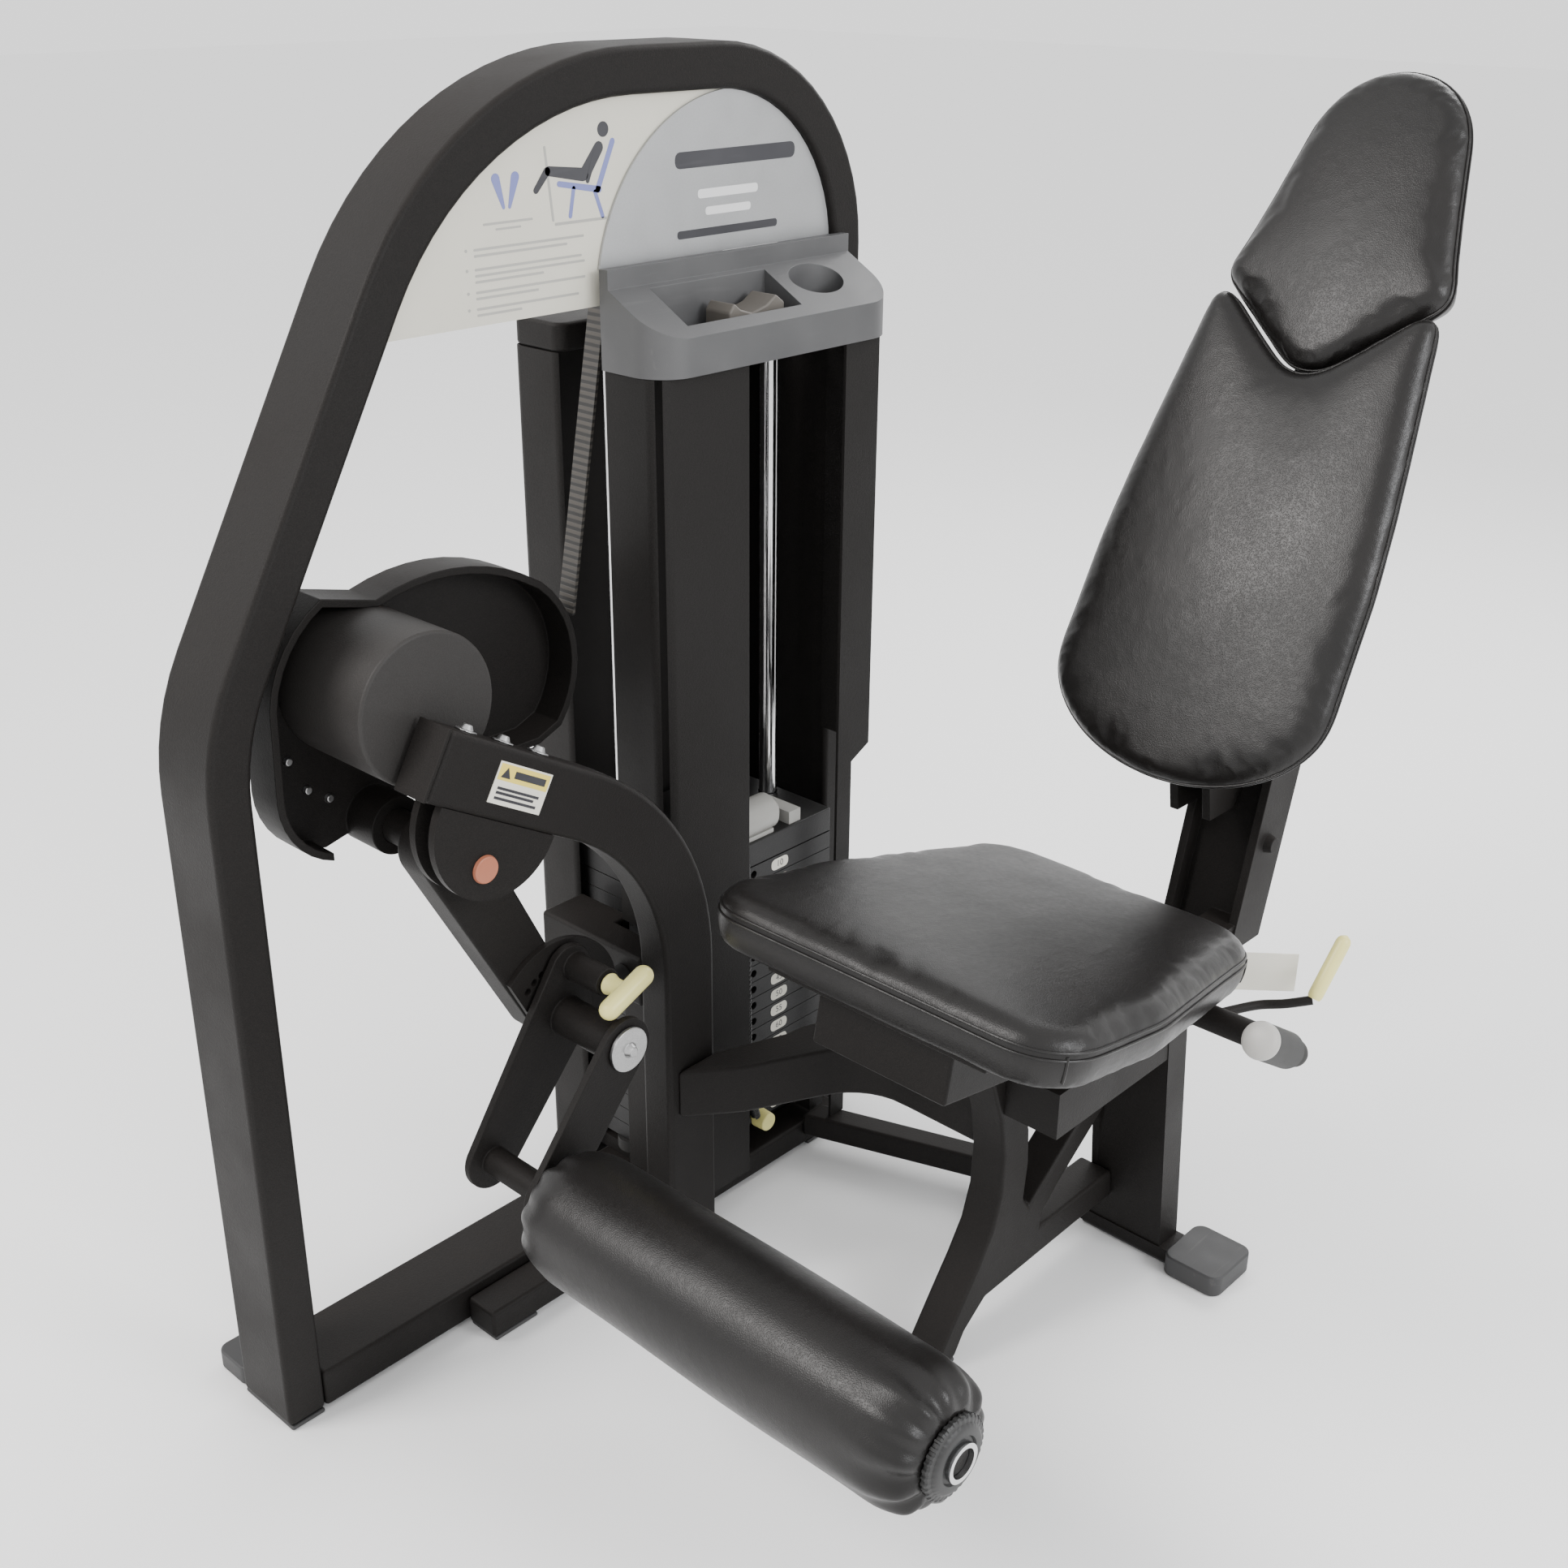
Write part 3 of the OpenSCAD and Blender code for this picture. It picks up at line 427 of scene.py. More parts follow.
CHARCOAL = (0.0085, 0.0078, 0.0074)
# In the coats the second, lighter colour gives the flecks and the painted light on faces that look up.
FINISH = {
    "frame_paint": finish_of("frame_paint", "coat", {"Base": CHARCOAL, "Dust": (0.04, 0.034, 0.031), "Dust Amount": 0.3}, 0.0005, 0.55, Specular_IOR_Level=0.13),
    "cover_paint": finish_of("cover_paint", "coat", {"Base": (0.0105, 0.0098, 0.0094), "Dust": (0.045, 0.04, 0.037), "Dust Amount": 0.3}, 0.0005, 0.5, Specular_IOR_Level=0.13),
    "drum_paint": finish_of("drum_paint", "coat", {"Base": (0.02, 0.0185, 0.0175), "Dust": (0.055, 0.05, 0.047), "Rough Low": 0.5, "Rough High": 0.65}, 0.0005, 0.5, Specular_IOR_Level=0.3),
    "weight_black": finish_of("weight_black", "coat", {"Base": (0.009, 0.009, 0.0095), "Dust": (0.04, 0.037, 0.034), "Rough Low": 0.35, "Rough High": 0.5}, 0.0005, 0.4, Specular_IOR_Level=0.3),
    "vinyl": finish_of("vinyl", "vinyl", {"Base": (0.0062, 0.0056, 0.0053), "Rubbed": (0.0125, 0.011, 0.0105)}, 0.0006, 0.5, Specular_IOR_Level=0.34),
    "rubber": finish_of("rubber", "moulded", {"Base": (0.011, 0.0105, 0.01), "Scuff": (0.05, 0.047, 0.044), "Rough Low": 0.6, "Rough High": 0.75}, 0.0003, 0.4),
    "shoe_rubber": finish_of("shoe_rubber", "moulded", {"Base": (0.026, 0.026, 0.027), "Scuff": (0.1, 0.096, 0.092), "Rough Low": 0.5, "Rough High": 0.7}, 0.0003, 0.4),
    "console_grey": finish_of("console_grey", "moulded", {"Base": (0.066, 0.066, 0.068), "Scuff": (0.17, 0.17, 0.17), "Scuff Amount": 0.12, "Rough Low": 0.42, "Rough High": 0.55}, 0.0003, 0.5),
    "saddle_grey": finish_of("saddle_grey", "moulded", {"Base": (0.1, 0.09, 0.078), "Scuff": (0.2, 0.185, 0.165), "Scuff Amount": 0.2}, 0.0003, 0.4),
    "guide_plate": finish_of("guide_plate", "moulded", {"Base": (0.62, 0.6, 0.52), "Scuff": (0.45, 0.43, 0.36), "Scuff Amount": 0.1, "Rough Low": 0.3, "Rough High": 0.4}, 0.0001, 0.2),
    "title_plate": finish_of("title_plate", "metal", {"Base": (0.42, 0.425, 0.43), "Shade": (0.36, 0.365, 0.37), "Rough Low": 0.35, "Rough High": 0.45}, 0.0001, 0.2, 0.45),
    "chrome": finish_of("chrome", "metal", {"Base": (0.72, 0.72, 0.73), "Shade": (0.6, 0.6, 0.6), "Rough Low": 0.08, "Rough High": 0.2}, 0.00005, 0.2, 1.0),
    "steel": finish_of("steel", "metal", {"Base": (0.5, 0.5, 0.5), "Shade": (0.3, 0.3, 0.3), "Rough Low": 0.28, "Rough High": 0.42}, 0.0001, 0.4, 1.0),
    "yellow_plastic": finish_of("yellow_plastic", "moulded", {"Base": (0.78, 0.72, 0.27), "Scuff": (0.55, 0.5, 0.22), "Scuff Amount": 0.3, "Rough Low": 0.3, "Rough High": 0.42}, 0.0001, 0.3),
    "copper_cap": finish_of("copper_cap", "moulded", {"Base": (0.36, 0.115, 0.06), "Scuff": (0.5, 0.25, 0.18), "Rough Low": 0.32, "Rough High": 0.45}, 0.0001, 0.3),
    "cap_grey": finish_of("cap_grey", "moulded", {"Base": (0.4, 0.39, 0.37), "Scuff": (0.3, 0.29, 0.27), "Rough Low": 0.4, "Rough High": 0.5}, 0.0002, 0.3),
    "cap_black": finish_of("cap_black", "moulded", {"Base": (0.009, 0.009, 0.009), "Scuff": (0.04, 0.04, 0.04), "Rough Low": 0.4, "Rough High": 0.55}, 0.0002, 0.4),
    "pulley_black": finish_of("pulley_black", "moulded", {"Base": (0.025, 0.025, 0.025), "Scuff": (0.08, 0.08, 0.08)}, 0.0002, 0.4),
    "zinc": finish_of("zinc", "moulded", {"Base": (0.34, 0.335, 0.315), "Scuff": (0.2, 0.19, 0.17), "Rough Low": 0.35, "Rough High": 0.5}, 0.0002, 0.4),
    "cord_black": finish_of("cord_black", "moulded", {"Base": (0.012, 0.012, 0.012), "Scuff": (0.05, 0.05, 0.05), "Rough Low": 0.25, "Rough High": 0.4}, 0.0001, 0.3),
    "grip_rubber": finish_of("grip_rubber", "moulded", {"Base": (0.016, 0.016, 0.0155), "Scuff": (0.06, 0.06, 0.057), "Rough Low": 0.55, "Rough High": 0.7}, 0.0004, 0.6),
    "label": finish_of("label", "moulded", {"Base": (0.72, 0.7, 0.62), "Scuff": (0.5, 0.48, 0.4), "Scuff Amount": 0.1, "Rough Low": 0.35, "Rough High": 0.45}, 0.0001, 0.2),
    "print_dark": finish_of("print_dark", "moulded", {"Base": (0.03, 0.03, 0.035), "Scuff": (0.08, 0.08, 0.09), "Rough Low": 0.35, "Rough High": 0.45}, 0.0001, 0.2),
    "print_grey": finish_of("print_grey", "moulded", {"Base": (0.36, 0.355, 0.33), "Scuff": (0.45, 0.44, 0.4), "Rough Low": 0.35, "Rough High": 0.45}, 0.0001, 0.2),
    "print_blue": finish_of("print_blue", "moulded", {"Base": (0.16, 0.18, 0.42), "Scuff": (0.3, 0.32, 0.5), "Rough Low": 0.35, "Rough High": 0.45}, 0.0001, 0.2),
    "print_pale": finish_of("print_pale", "moulded", {"Base": (0.72, 0.72, 0.72), "Scuff": (0.6, 0.6, 0.6), "Rough Low": 0.35, "Rough High": 0.45}, 0.0001, 0.2),
    "print_yellow": finish_of("print_yellow", "moulded", {"Base": (0.78, 0.62, 0.12), "Scuff": (0.6, 0.5, 0.15), "Rough Low": 0.35, "Rough High": 0.45}, 0.0001, 0.2),
}


def make_belt_finish():
    """Ribs across the belt: a wave along Z, ten a centimetre and a half, raised as bars by the bump, with painted shade
    in the grooves and painted light on the ribs.
    """
    mat = finish_of("belt", "moulded", {"Base": (0.03, 0.026, 0.022), "Scuff": (0.1, 0.09, 0.075)}, 0.0008, 0.6)
    t = mat.node_tree
    bsdf = next(n for n in t.nodes if n.type == "BSDF_PRINCIPLED")
    place = next(n for n in t.nodes if n.type == "TEX_COORD").outputs["Object"]
    wave = t.nodes.new("ShaderNodeTexWave")
    wave.bands_direction = "Z"
    wave.inputs["Scale"].default_value = 38.0
    wave.inputs["Distortion"].default_value = 0.3
    t.links.new(place, wave.inputs["Vector"])
    bars = span(t, wave.outputs["Fac"], 0.35, 0.65, 0.0, 1.0)
    # Painted shade and light: the colour is dark in the grooves and light on the ribs.
    t.links.new(mix_colour(t, bars, (0.008, 0.007, 0.006), (0.045, 0.039, 0.032)), bsdf.inputs["Base Color"])
    bump = next(n for n in t.nodes if n.type == "BUMP")
    t.links.new(bars, bump.inputs["Height"])
    return mat


FINISH["belt"] = make_belt_finish()
for entry in frame["record"]["subparts"]:
    obj = frame["nodes"][entry["node"]]
    obj.data.materials.clear()
    painted = "frame_paint" if entry["node"] in ("main_shaft", "pivot_bearings") else entry["material_slot"]
    obj.data.materials.append(FINISH[painted])
print("finishes", len(FINISH))

# %% [markdown]
# ## Rigid parts
# Welded tube has a corner radius of about a tenth of its width, sheet covers a small
# one, and cast or turned pieces a fine one. Each part gets its own edge width.

# %% Rounded copies
SLOT = {entry["node"]: entry["material_slot"] for entry in frame["record"]["subparts"]}
EDGES = {
    "loop_frame": 7, "floor_tube": 5, "pivot_column": 7, "cross_member": 5, "cross_tube": 6, "front_leg": 5,
    "rear_post": 6, "floor_brace": 5, "seat_frame": 4, "cover_near_front": 1.2, "cover_near_rear": 1.2, "cover_far": 1.2,
    "console": 5, "console_saddle": 2.5, "console_far": 5, "feet": 4, "head_plate": 2, "weight_plates": 1.6,
    "add_on_weight": 2, "cam": 2, "counterweight": 4, "arm_tube": 5, "sector_plate": 1.2, "carrier": 1.6,
    "pivot_plates": 1.2, "column_cap": 1.2, "slide_sleeve": 2, "back_carriage": 1.6, "rod_crosshead": 1.5,
    "selector_pin": 2, "arm_bolts": 1, "column_bolts": 1, "arm_stop": 2, "pivot_cap": 1.2, "handle_grips": 2,
}
for node, width in EDGES.items():
    finish = {"feet": "shoe_rubber", "console_far": "cover_paint"}.get(node, SLOT[node])
    rounded(node, width, FINISH[finish])
print("rounded", len(EDGES))

# %% [markdown]
# ## Cushions
# A seat or back pad is foam on a board, with a sewn cover. The form is a closed outline
# drawn in to a crowned top: rings of the outline step up the side, turn over a round
# edge and close over the crown. Cloth under a little pressure then swells it, which
# gives the slightly full, slightly uneven skin that foam under vinyl has.

# %% Outlines


def hull_of_circles(circles, count=60):
    """The outline round several circles (x, y, r): the convex hull of points on all of them."""
    a = np.linspace(0, 2 * np.pi, count, endpoint=False)
    pts = np.vstack([np.stack([x + r * np.cos(a), y + r * np.sin(a)], 1) for x, y, r in circles])
    pts = pts[np.lexsort((pts[:, 1], pts[:, 0]))]

    def half(points):
        chain = []
        for p in points:
            while len(chain) > 1 and np.cross(chain[-1] - chain[-2], p - chain[-2]) <= 0:
                chain.pop()
            chain.append(p)
        return chain[:-1]

    return np.array(half(pts) + half(pts[::-1]))


def even(outline, count=260, soften=3):
    """The closed outline at equal steps of its length, each point then moved to the mean of
    itself and its two neighbours a few times."""
    loop = np.vstack([outline, outline[:1]])
    step = np.concatenate([[0], np.cumsum(np.linalg.norm(np.diff(loop, axis=0), axis=1))])
    s = np.linspace(0, step[-1], count, endpoint=False)
    p = np.stack([np.interp(s, step, loop[:, k]) for k in (0, 1)], 1)
    for _ in range(soften):
        p = (np.roll(p, 1, 0) + p + np.roll(p, -1, 0)) / 3
    return p


def arc(x, y, r, a0, a1, n, squeeze=1.0):
    """Points of an arc; squeeze scales its height to make it an ellipse."""
    a = np.radians(np.linspace(a0, a1, n))
    return np.stack([x + r * np.cos(a), y + squeeze * r * np.sin(a)], 1)


def mirrored(half):
    """A right half from bottom to top, and its mirror image back down."""
    return np.vstack([half, half[::-1] * [-1, 1]])


seat_outline = even(hull_of_circles([(s * x, y, 70) for s in (-1, 1) for x, y in ((180, 70), (180, 195), (136, 435))]))
back_outline = even(mirrored(np.vstack([
    arc(0, 128, 190, -89, -2, 16, 0.667), [[188, 270], [180, 365], [169, 455]],
    arc(136, 590, 16, -10, 126, 9), [[86, 571]], arc(0, 578, 58, -52, -89, 7)])), soften=2)
head_outline = even(hull_of_circles([(0, 56, 56), (-122, 112, 24), (122, 112, 24), (0, 271, 105)]))
print("outlines", [len(o) for o in (seat_outline, back_outline, head_outline)])

# %% Cushion form


def cushion_rows(outline, centre, thick, edge, crown, back_edge, tuck):
    """Rings from the back's middle, out to the back edge, up the side and over to the front's
    middle. Near the rim a ring is the outline moved in along its normal; over the crown it is the
    outline shrunk towards the centre with its finer waves taken out, so the middle is plain and
    round, and the height falls with the distance out."""
    normal = np.roll(outline, -1, 0) - np.roll(outline, 1, 0)
    normal = np.stack([normal[:, 1], -normal[:, 0]], 1)
    normal /= np.linalg.norm(normal, axis=1)[:, None]

    def ring(inset, height):
        return np.column_stack([outline - normal * inset, np.full(len(outline), height)])

    loop = outline[:, 0] - centre[0] + 1j * (outline[:, 1] - centre[1])
    wave = np.fft.fft(loop)
    order = np.abs(np.fft.fftfreq(len(outline), 1 / len(outline)))

    def shrunk(s, height, inset):
        kept = np.exp(-(order * max(0.0, 1.0 - s) * 0.55) ** 2)
        z = np.fft.ifft(wave * kept) * s * (1 - inset / np.abs(loop).mean())
        return np.column_stack([z.real + centre[0], z.imag + centre[1], np.full(len(outline), height)])

    low = ring(back_edge + tuck, 0.0)
    rows = [shrunk(s, 0.0, back_edge + tuck) for s in (0.0, 0.3, 0.6, 0.85)] + [low]
    for a in np.radians([30, 60, 90]):
        rows.append(ring(tuck + back_edge * (1 - np.sin(a)), back_edge * (1 - np.cos(a))))
    side = thick - edge - crown
    for f in (0.33, 0.66, 1.0):
        rows.append(ring(tuck * (1 - f) - 2.0 * np.sin(np.pi * f), back_edge + (side - back_edge) * f))
    for a in np.radians([20, 40, 60, 78]):
        rows.append(ring(edge * (1 - np.cos(a)), side + edge * np.sin(a)))
    for s in (0.95, 0.86, 0.74, 0.6, 0.46, 0.3, 0.15, 0.0):
        rows.append(shrunk(s, thick - crown + crown * (1 - s ** 2.2) - edge * 0.02, edge))
    return np.array(rows)


def inflate(obj, pressure=4.0, cap=0.006, voxel=0.006):
    """Remeshes a closed form evenly and lets cloth swell it from inside. No point moves more than
    the cap from where it started: a longer move is scaled back to it."""
    remesh = obj.modifiers.new("even", "REMESH")
    remesh.mode = "VOXEL"
    remesh.voxel_size = voxel
    apply_modifiers(obj)
    start = coordinates(obj.data)
    cloth = obj.modifiers.new("cloth", "CLOTH")
    s = cloth.settings
    s.quality = 6
    s.mass = 0.4
    s.tension_stiffness = s.compression_stiffness = 25
    s.bending_stiffness = 3
    s.use_pressure = True
    s.uniform_pressure_force = pressure
    s.effector_weights.gravity = 0.0
    cloth.collision_settings.use_collision = False
    cloth.point_cache.frame_start = 1
    cloth.point_cache.frame_end = 20
    for f in range(1, 21):
        bpy.context.scene.frame_set(f)
    apply_modifiers(obj)
    bpy.context.scene.frame_set(1)
    now = coordinates(obj.data)
    move = now - start
    far = np.maximum(np.linalg.norm(move, axis=1), 1e-9)[:, None]
    now = start + move * np.minimum(1.0, cap / far)
    obj.data.vertices.foreach_set("co", now.astype(np.float32).ravel())
    obj.data.update()
    print(obj.name, "swelled by at most", round(float(far.max()) * 1000, 1), "mm before the cap")


def coordinates(mesh):
    """All vertex places as one array."""
    v = np.empty(len(mesh.vertices) * 3, np.float32)
    mesh.vertices.foreach_get("co", v)
    return v.reshape(-1, 3).astype(float)


def apply_modifiers(obj):
    """Replaces the mesh by what the modifiers make of it, and clears them."""
    graph = bpy.context.evaluated_depsgraph_get()
    graph.update()
    mesh = bpy.data.meshes.new_from_object(obj.evaluated_get(graph))
    old = obj.data
    obj.modifiers.clear()
    obj.data = mesh
    bpy.data.meshes.remove(old)


def place_on(points, origin, across, along, outwards):
    """Local (x, y, height) in millimetres to the row frame in metres."""
    return origin + (points[..., :1] * across + points[..., 1:2] * along + points[..., 2:3] * outwards) / 1000.0


def seams(obj, name, curves, radius=0.0016):
    """Raised seams: each curve is dropped on to the nearest point of the finished cushion, and a
    thin flat tube follows it."""
    tree = BVHTree.FromObject(obj, bpy.context.evaluated_depsgraph_get())
    meshes = []
    for k, curve in enumerate(curves):
        hits = [tree.find_nearest(Vector(p)) for p in curve]
        line = np.array([h[0] + h[1] * (radius * 0.45) for h in hits])
        closed = np.linalg.norm(curve[0] - curve[-1]) < 0.02
        if closed:
            line = np.vstack([line, line[:1]])
        for _ in range(2):
            line[1:-1] = (line[:-2] + line[1:-1] + line[2:]) / 3
        meshes.append(tube(f"{name}_{k}", line, radius, 8))
    joined = bmesh.new()
    for mesh in meshes:
        joined.from_mesh(mesh)
    out = bpy.data.meshes.new(name)
    joined.to_mesh(out)
    joined.free()
    out.shade_smooth()
    return add_object(name, out, FINISH["vinyl"])


# %% Seat pad
tilt = math.radians(11)
seat_axes = (at(490, 432, 662), np.array([1.0, 0, 0]), np.array([0, math.cos(tilt), -math.sin(tilt)]), np.array([0, math.sin(tilt), math.cos(tilt)]))


def seat_at(points):
    """Local to row frame for the seat; height 0 is the board, 72 mm the top."""
    return place_on(points - np.array([0, 0, 72.0]), *seat_axes)


rows = cushion_rows(seat_outline, np.array([0.0, 240.0]), 70, 24, 9, 8, 4)
seat = add_object("seat_cushion", tidy(grid_mesh("seat_cushion", seat_at(rows)), 1e-4), FINISH["vinyl"])
inflate(seat, cap=0.005)
seat.modifiers.new("finer", "SUBSURF").levels = 1
seat.data.shade_smooth()
ring = lambda outline, out, h: np.column_stack([outline * out, np.full(len(outline), h)])
seat_seams = seams(seat, "seat_seams", [seat_at(ring(seat_outline, 1.004, h)) for h in (47.0, 38.0)]
                   + [seat_at(np.column_stack([np.full(8, x), np.full(8, y), np.linspace(8, 44, 8)])) for x, y in ((-246, 30), (246, 30), (-205, 470), (205, 470))])
piece(seat, "base", "vinyl", "seat_pad")
piece(seat_seams, "base", "vinyl")
print("seat", len(seat.data.polygons), "faces")

# %% Back and head pads
lean = math.radians(28)
up_pad = np.array([0, math.sin(lean), math.cos(lean)])
out_pad = np.array([0, -math.cos(lean), math.sin(lean)])


def back_at(points, rise=0.0, setback=0.0):
    """Local to row frame for the back: height 62 mm is the front face, rise is up the pad."""
    p = points + np.array([0, rise, -62.0 - setback])
    return place_on(p, at(490, 945, 690), np.array([1.0, 0, 0]), up_pad, out_pad)


for name, outline, centre, rise, setback, node in (
        ("back_cushion", back_outline, (0.0, 240.0), 0.0, 0.0, "back_pad"),
        ("head_cushion", head_outline, (0.0, 180.0), 522.0, 12.0, "head_pad")):
    rows = cushion_rows(outline, np.array(centre), 61, 20, 9, 6, 12 if node == "back_pad" else 5)
    pad = add_object(name, tidy(grid_mesh(name, back_at(rows, rise, setback)), 1e-4), FINISH["vinyl"])
    inflate(pad, cap=0.004)
    pad.modifiers.new("finer", "SUBSURF").levels = 1
    pad.data.shade_smooth()
    lines = seams(pad, name + "_seams", [back_at(ring(outline - centre, 1.004, h) + np.array([*centre, 0]), rise, setback) for h in (36.0, 28.0)])
    piece(pad, "backrest", "vinyl", node)
    piece(lines, "backrest", "vinyl")
    print(name, len(pad.data.polygons), "faces")

# %% [markdown]
# ## Roller
# The roller is a foam sleeve in a vinyl tube, drawn in by an elastic hem at its end, so
# the cover gathers in folds round the flange. The surface is a barrel whose radius
# falls at both ends, with ripples round it that grow towards the hem.

# %% Roller pad


def roller_points(length=556.0, rows=110, cols=240):
    """Radius is the barrel's, times 1 plus folds: the sum of two cosines round the axis, scaled by
    how near the end the point is; the hem then turns in to the tube."""
    a = np.linspace(0, 2 * np.pi, cols, endpoint=False)
    t = np.linspace(0, 1, rows)
    x = length * (0.5 - 0.5 * np.cos(np.pi * t))
    end = np.minimum(x, length - x)
    barrel = 76.5 - 27 * np.exp(-(end / 9.0)) - 5.5 * np.exp(-((end - 14) / 22.0) ** 2) + 2.0 * np.sin(np.pi * x / length)
    near = np.exp(-(np.clip(length - x - 6, 0, None) / 30.0))
    far = 0.6 * np.exp(-(np.clip(x - 6, 0, None) / 22.0))
    folds = 0.6 * np.cos(13 * a + 0.8 * np.sin(3 * a)) + 0.45 * np.cos(9 * a + 1.3 + 0.9 * np.sin(2 * a))
    sag = 0.5 * np.sin(2 * a[None] + 0.02 * x[:, None]) + 0.4 * np.sin(3 * a[None] - 0.013 * x[:, None] + 1.1)
    drag = np.cos(5 * a[None] + 0.011 * (length - x)[:, None] + 0.8) * np.exp(-((length - x) / 150.0))[:, None]
    r = barrel[:, None] + (near + far)[:, None] * folds[None] * 6.4 + sag + 1.1 * drag
    pts = np.stack([np.broadcast_to(x[:, None], r.shape), r * np.cos(a), r * np.sin(a)], -1)
    hub = np.stack([np.full(cols, 1.0), 22 * np.cos(a), 22 * np.sin(a)], -1)
    hub_far = hub * [0, 1, 1] + [length - 1.0, 0, 0]
    return np.concatenate([hub[None], pts, hub_far[None]])


roller = roller_points()
inner = np.stack([roller[0], roller[-1]])
centre = at(216, 240, 312)
roller_mesh = grid_mesh("roller_cushion", centre + np.concatenate([roller, roller[:1]]) / 1000.0)
roller_pad = add_object("roller_cushion", tidy(roller_mesh, angle=75), FINISH["vinyl"])
piece(roller_pad, "roller", "vinyl", "roller_pad")
print("roller", len(roller_pad.data.polygons), "faces")

# %% Roller flange


def flange_points(cols=288):
    """A stepped disc turned about X whose rim radius has 36 short ribs."""
    a = np.linspace(0, 2 * np.pi, cols, endpoint=False)
    rib = np.where(np.cos(36 * a) > 0, 1.0, 0.0)
    profile = [(0.5, 21, 0), (0.5, 40, 0), (1.5, 44, 1.6), (6.5, 45, 1.6), (8.5, 43, 1.6), (9.5, 38, 0.6), (11.5, 36, 0), (13.2, 33, 0), (13.2, 26, 0), (10.5, 24.5, 0), (10.5, 21, 0)]
    return np.stack([np.stack([np.full(cols, x), (r - k * rib) * np.cos(a), (r - k * rib) * np.sin(a)], -1) for x, r, k in profile])


flange_pts = at(216 + 556, 240, 312) + flange_points() / 1000.0
flange = add_object("roller_flange", tidy(grid_mesh("roller_flange", flange_pts, wrap_rows=True), angle=30), FINISH["cap_black"])
piece(flange, "roller", "cap_black", "roller_cap")
print("flange", len(flange.data.polygons), "faces")

# %% [markdown]
# ## Bent rods and grips
# The handles and the release lever are bent round bar, so each is a circle carried along
# a smooth path, with a slightly domed end on the moulded grips.

# %% Handles and lever
handle_path = smooth_path([at(512 + x, 855 + y, 468.3 + z) for x, y, z in (
    (-268, -40, 26), (-263, -14, 9), (-240, 0, 1), (-120, 0, 0), (120, 0, 0), (240, 0, 1), (263, -14, 9), (268, -40, 26))], 90)
handles = add_object("handle_bar", tube("handle_bar", handle_path, 0.0158, 32), FINISH["frame_paint"])
piece(handles, "base", "frame_paint", "handle_frame")
lever_path = smooth_path([at(*p) for p in ((560.6, 870, 425), (599, 871, 425), (625, 925, 425), (652, 982, 425), (680, 1003, 430), (706, 1021, 438))], 60)
lever = add_object("lever_rod", tube("lever_rod", lever_path, 0.0058, 20), FINISH["frame_paint"])
piece(lever, "lever", "frame_paint", "release_lever")
t = np.linspace(0, 1, 30)
grip_line = at(706.5, 1022.2, 439.5) + t[:, None] * (at(716, 1068, 512) - at(706.5, 1022.2, 439.5))
grip_r = 0.0092 * np.sqrt(np.clip(1 - np.clip((t - 0.88) / 0.12, 0, 1) ** 2, 0.02, 1)) * np.clip(0.8 + 4 * t, 0, 1)
grip = add_object("lever_sleeve", tube("lever_sleeve", grip_line, grip_r, 24), FINISH["yellow_plastic"])
piece(grip, "lever", "yellow_plastic", "lever_grip")
tip = math.radians(57)
grip_dir = np.array([0, -math.sin(tip), math.cos(tip)])
caps = []
for side in (-1, 1):
    base = at(512 + side * 268, 815, 494.3) + grip_dir * 0.0745
    s = np.array([0, 2, 5, 8, 10.5, 12.5, 14, 14.6]) / 1000.0
    r = np.array([18, 21.2, 21.4, 20.8, 19.2, 16.0, 10.5, 3.0]) / 1000.0
    caps.append(tube("cap", base + s[:, None] * grip_dir, r, 40))
joined = bmesh.new()
for mesh in caps:
    joined.from_mesh(mesh)
cap_mesh = bpy.data.meshes.new("handle_domes")
joined.to_mesh(cap_mesh)
joined.free()
cap_mesh.shade_smooth()
domes = add_object("handle_domes", cap_mesh, FINISH["cap_grey"])
piece(domes, "base", "cap_grey", "handle_caps")
print("rods", len(handle_path), len(lever_path))

# %% Pull handle of the pin


def capsule(name, start, end, radius, sides=32, rows=14):
    """A rod with round ends: the radius over each end is that of a half ball."""
    axis = (end - start) / np.linalg.norm(end - start)
    a = np.linspace(0, np.pi / 2, rows)
    head = start - axis * radius * np.cos(a)[:, None]
    tail = end + axis * radius * np.sin(a)[:, None]
    line = np.vstack([head, tail])
    radii = np.concatenate([radius * np.sin(a), radius * np.cos(a)])
    return tube(name, line, np.maximum(radii, 1e-5), sides)


pin_z = 455 + math.sqrt(62 ** 2 - 16 ** 2)
bar = capsule("bar", at(190, 374 - 26, pin_z - 11), at(190, 374 + 26, pin_z + 11), 0.0122)
stem = tube("stem", np.array([at(x, 374, pin_z) for x in (160.2, 162, 170, 182, 188)]), [0.0122, 0.013, 0.0105, 0.0108, 0.0115], 32)
rod = tube("rod", np.array([at(x, 374, pin_z) for x in (80.7, 81.5, 91.8, 92.2, 93, 120, 161)]),
           [0.0038, 0.0044, 0.0044, 0.008, 0.0084, 0.0084, 0.0084], 32)
pull = bmesh.new()
for mesh in (bar, stem):
    pull.from_mesh(mesh)
pull_mesh = bpy.data.meshes.new("pull_handle")
pull.to_mesh(pull_mesh)
pull.free()
pull_mesh.shade_smooth()
pull_obj = add_object("pull_handle", pull_mesh, FINISH["yellow_plastic"])
piece(pull_obj, "pin_body", "yellow_plastic", "pop_pin")
pull_rod = add_object("pull_rod", rod, FINISH["steel"])
piece(pull_rod, "pin_body", "steel")
print("pull handle ready")

# %% [markdown]
# ## Coiled cord
# The pin is kept by a coiled cord. Its centreline is a helix carried along a gently
# hanging route: at each step the point goes round the route's own side vectors.

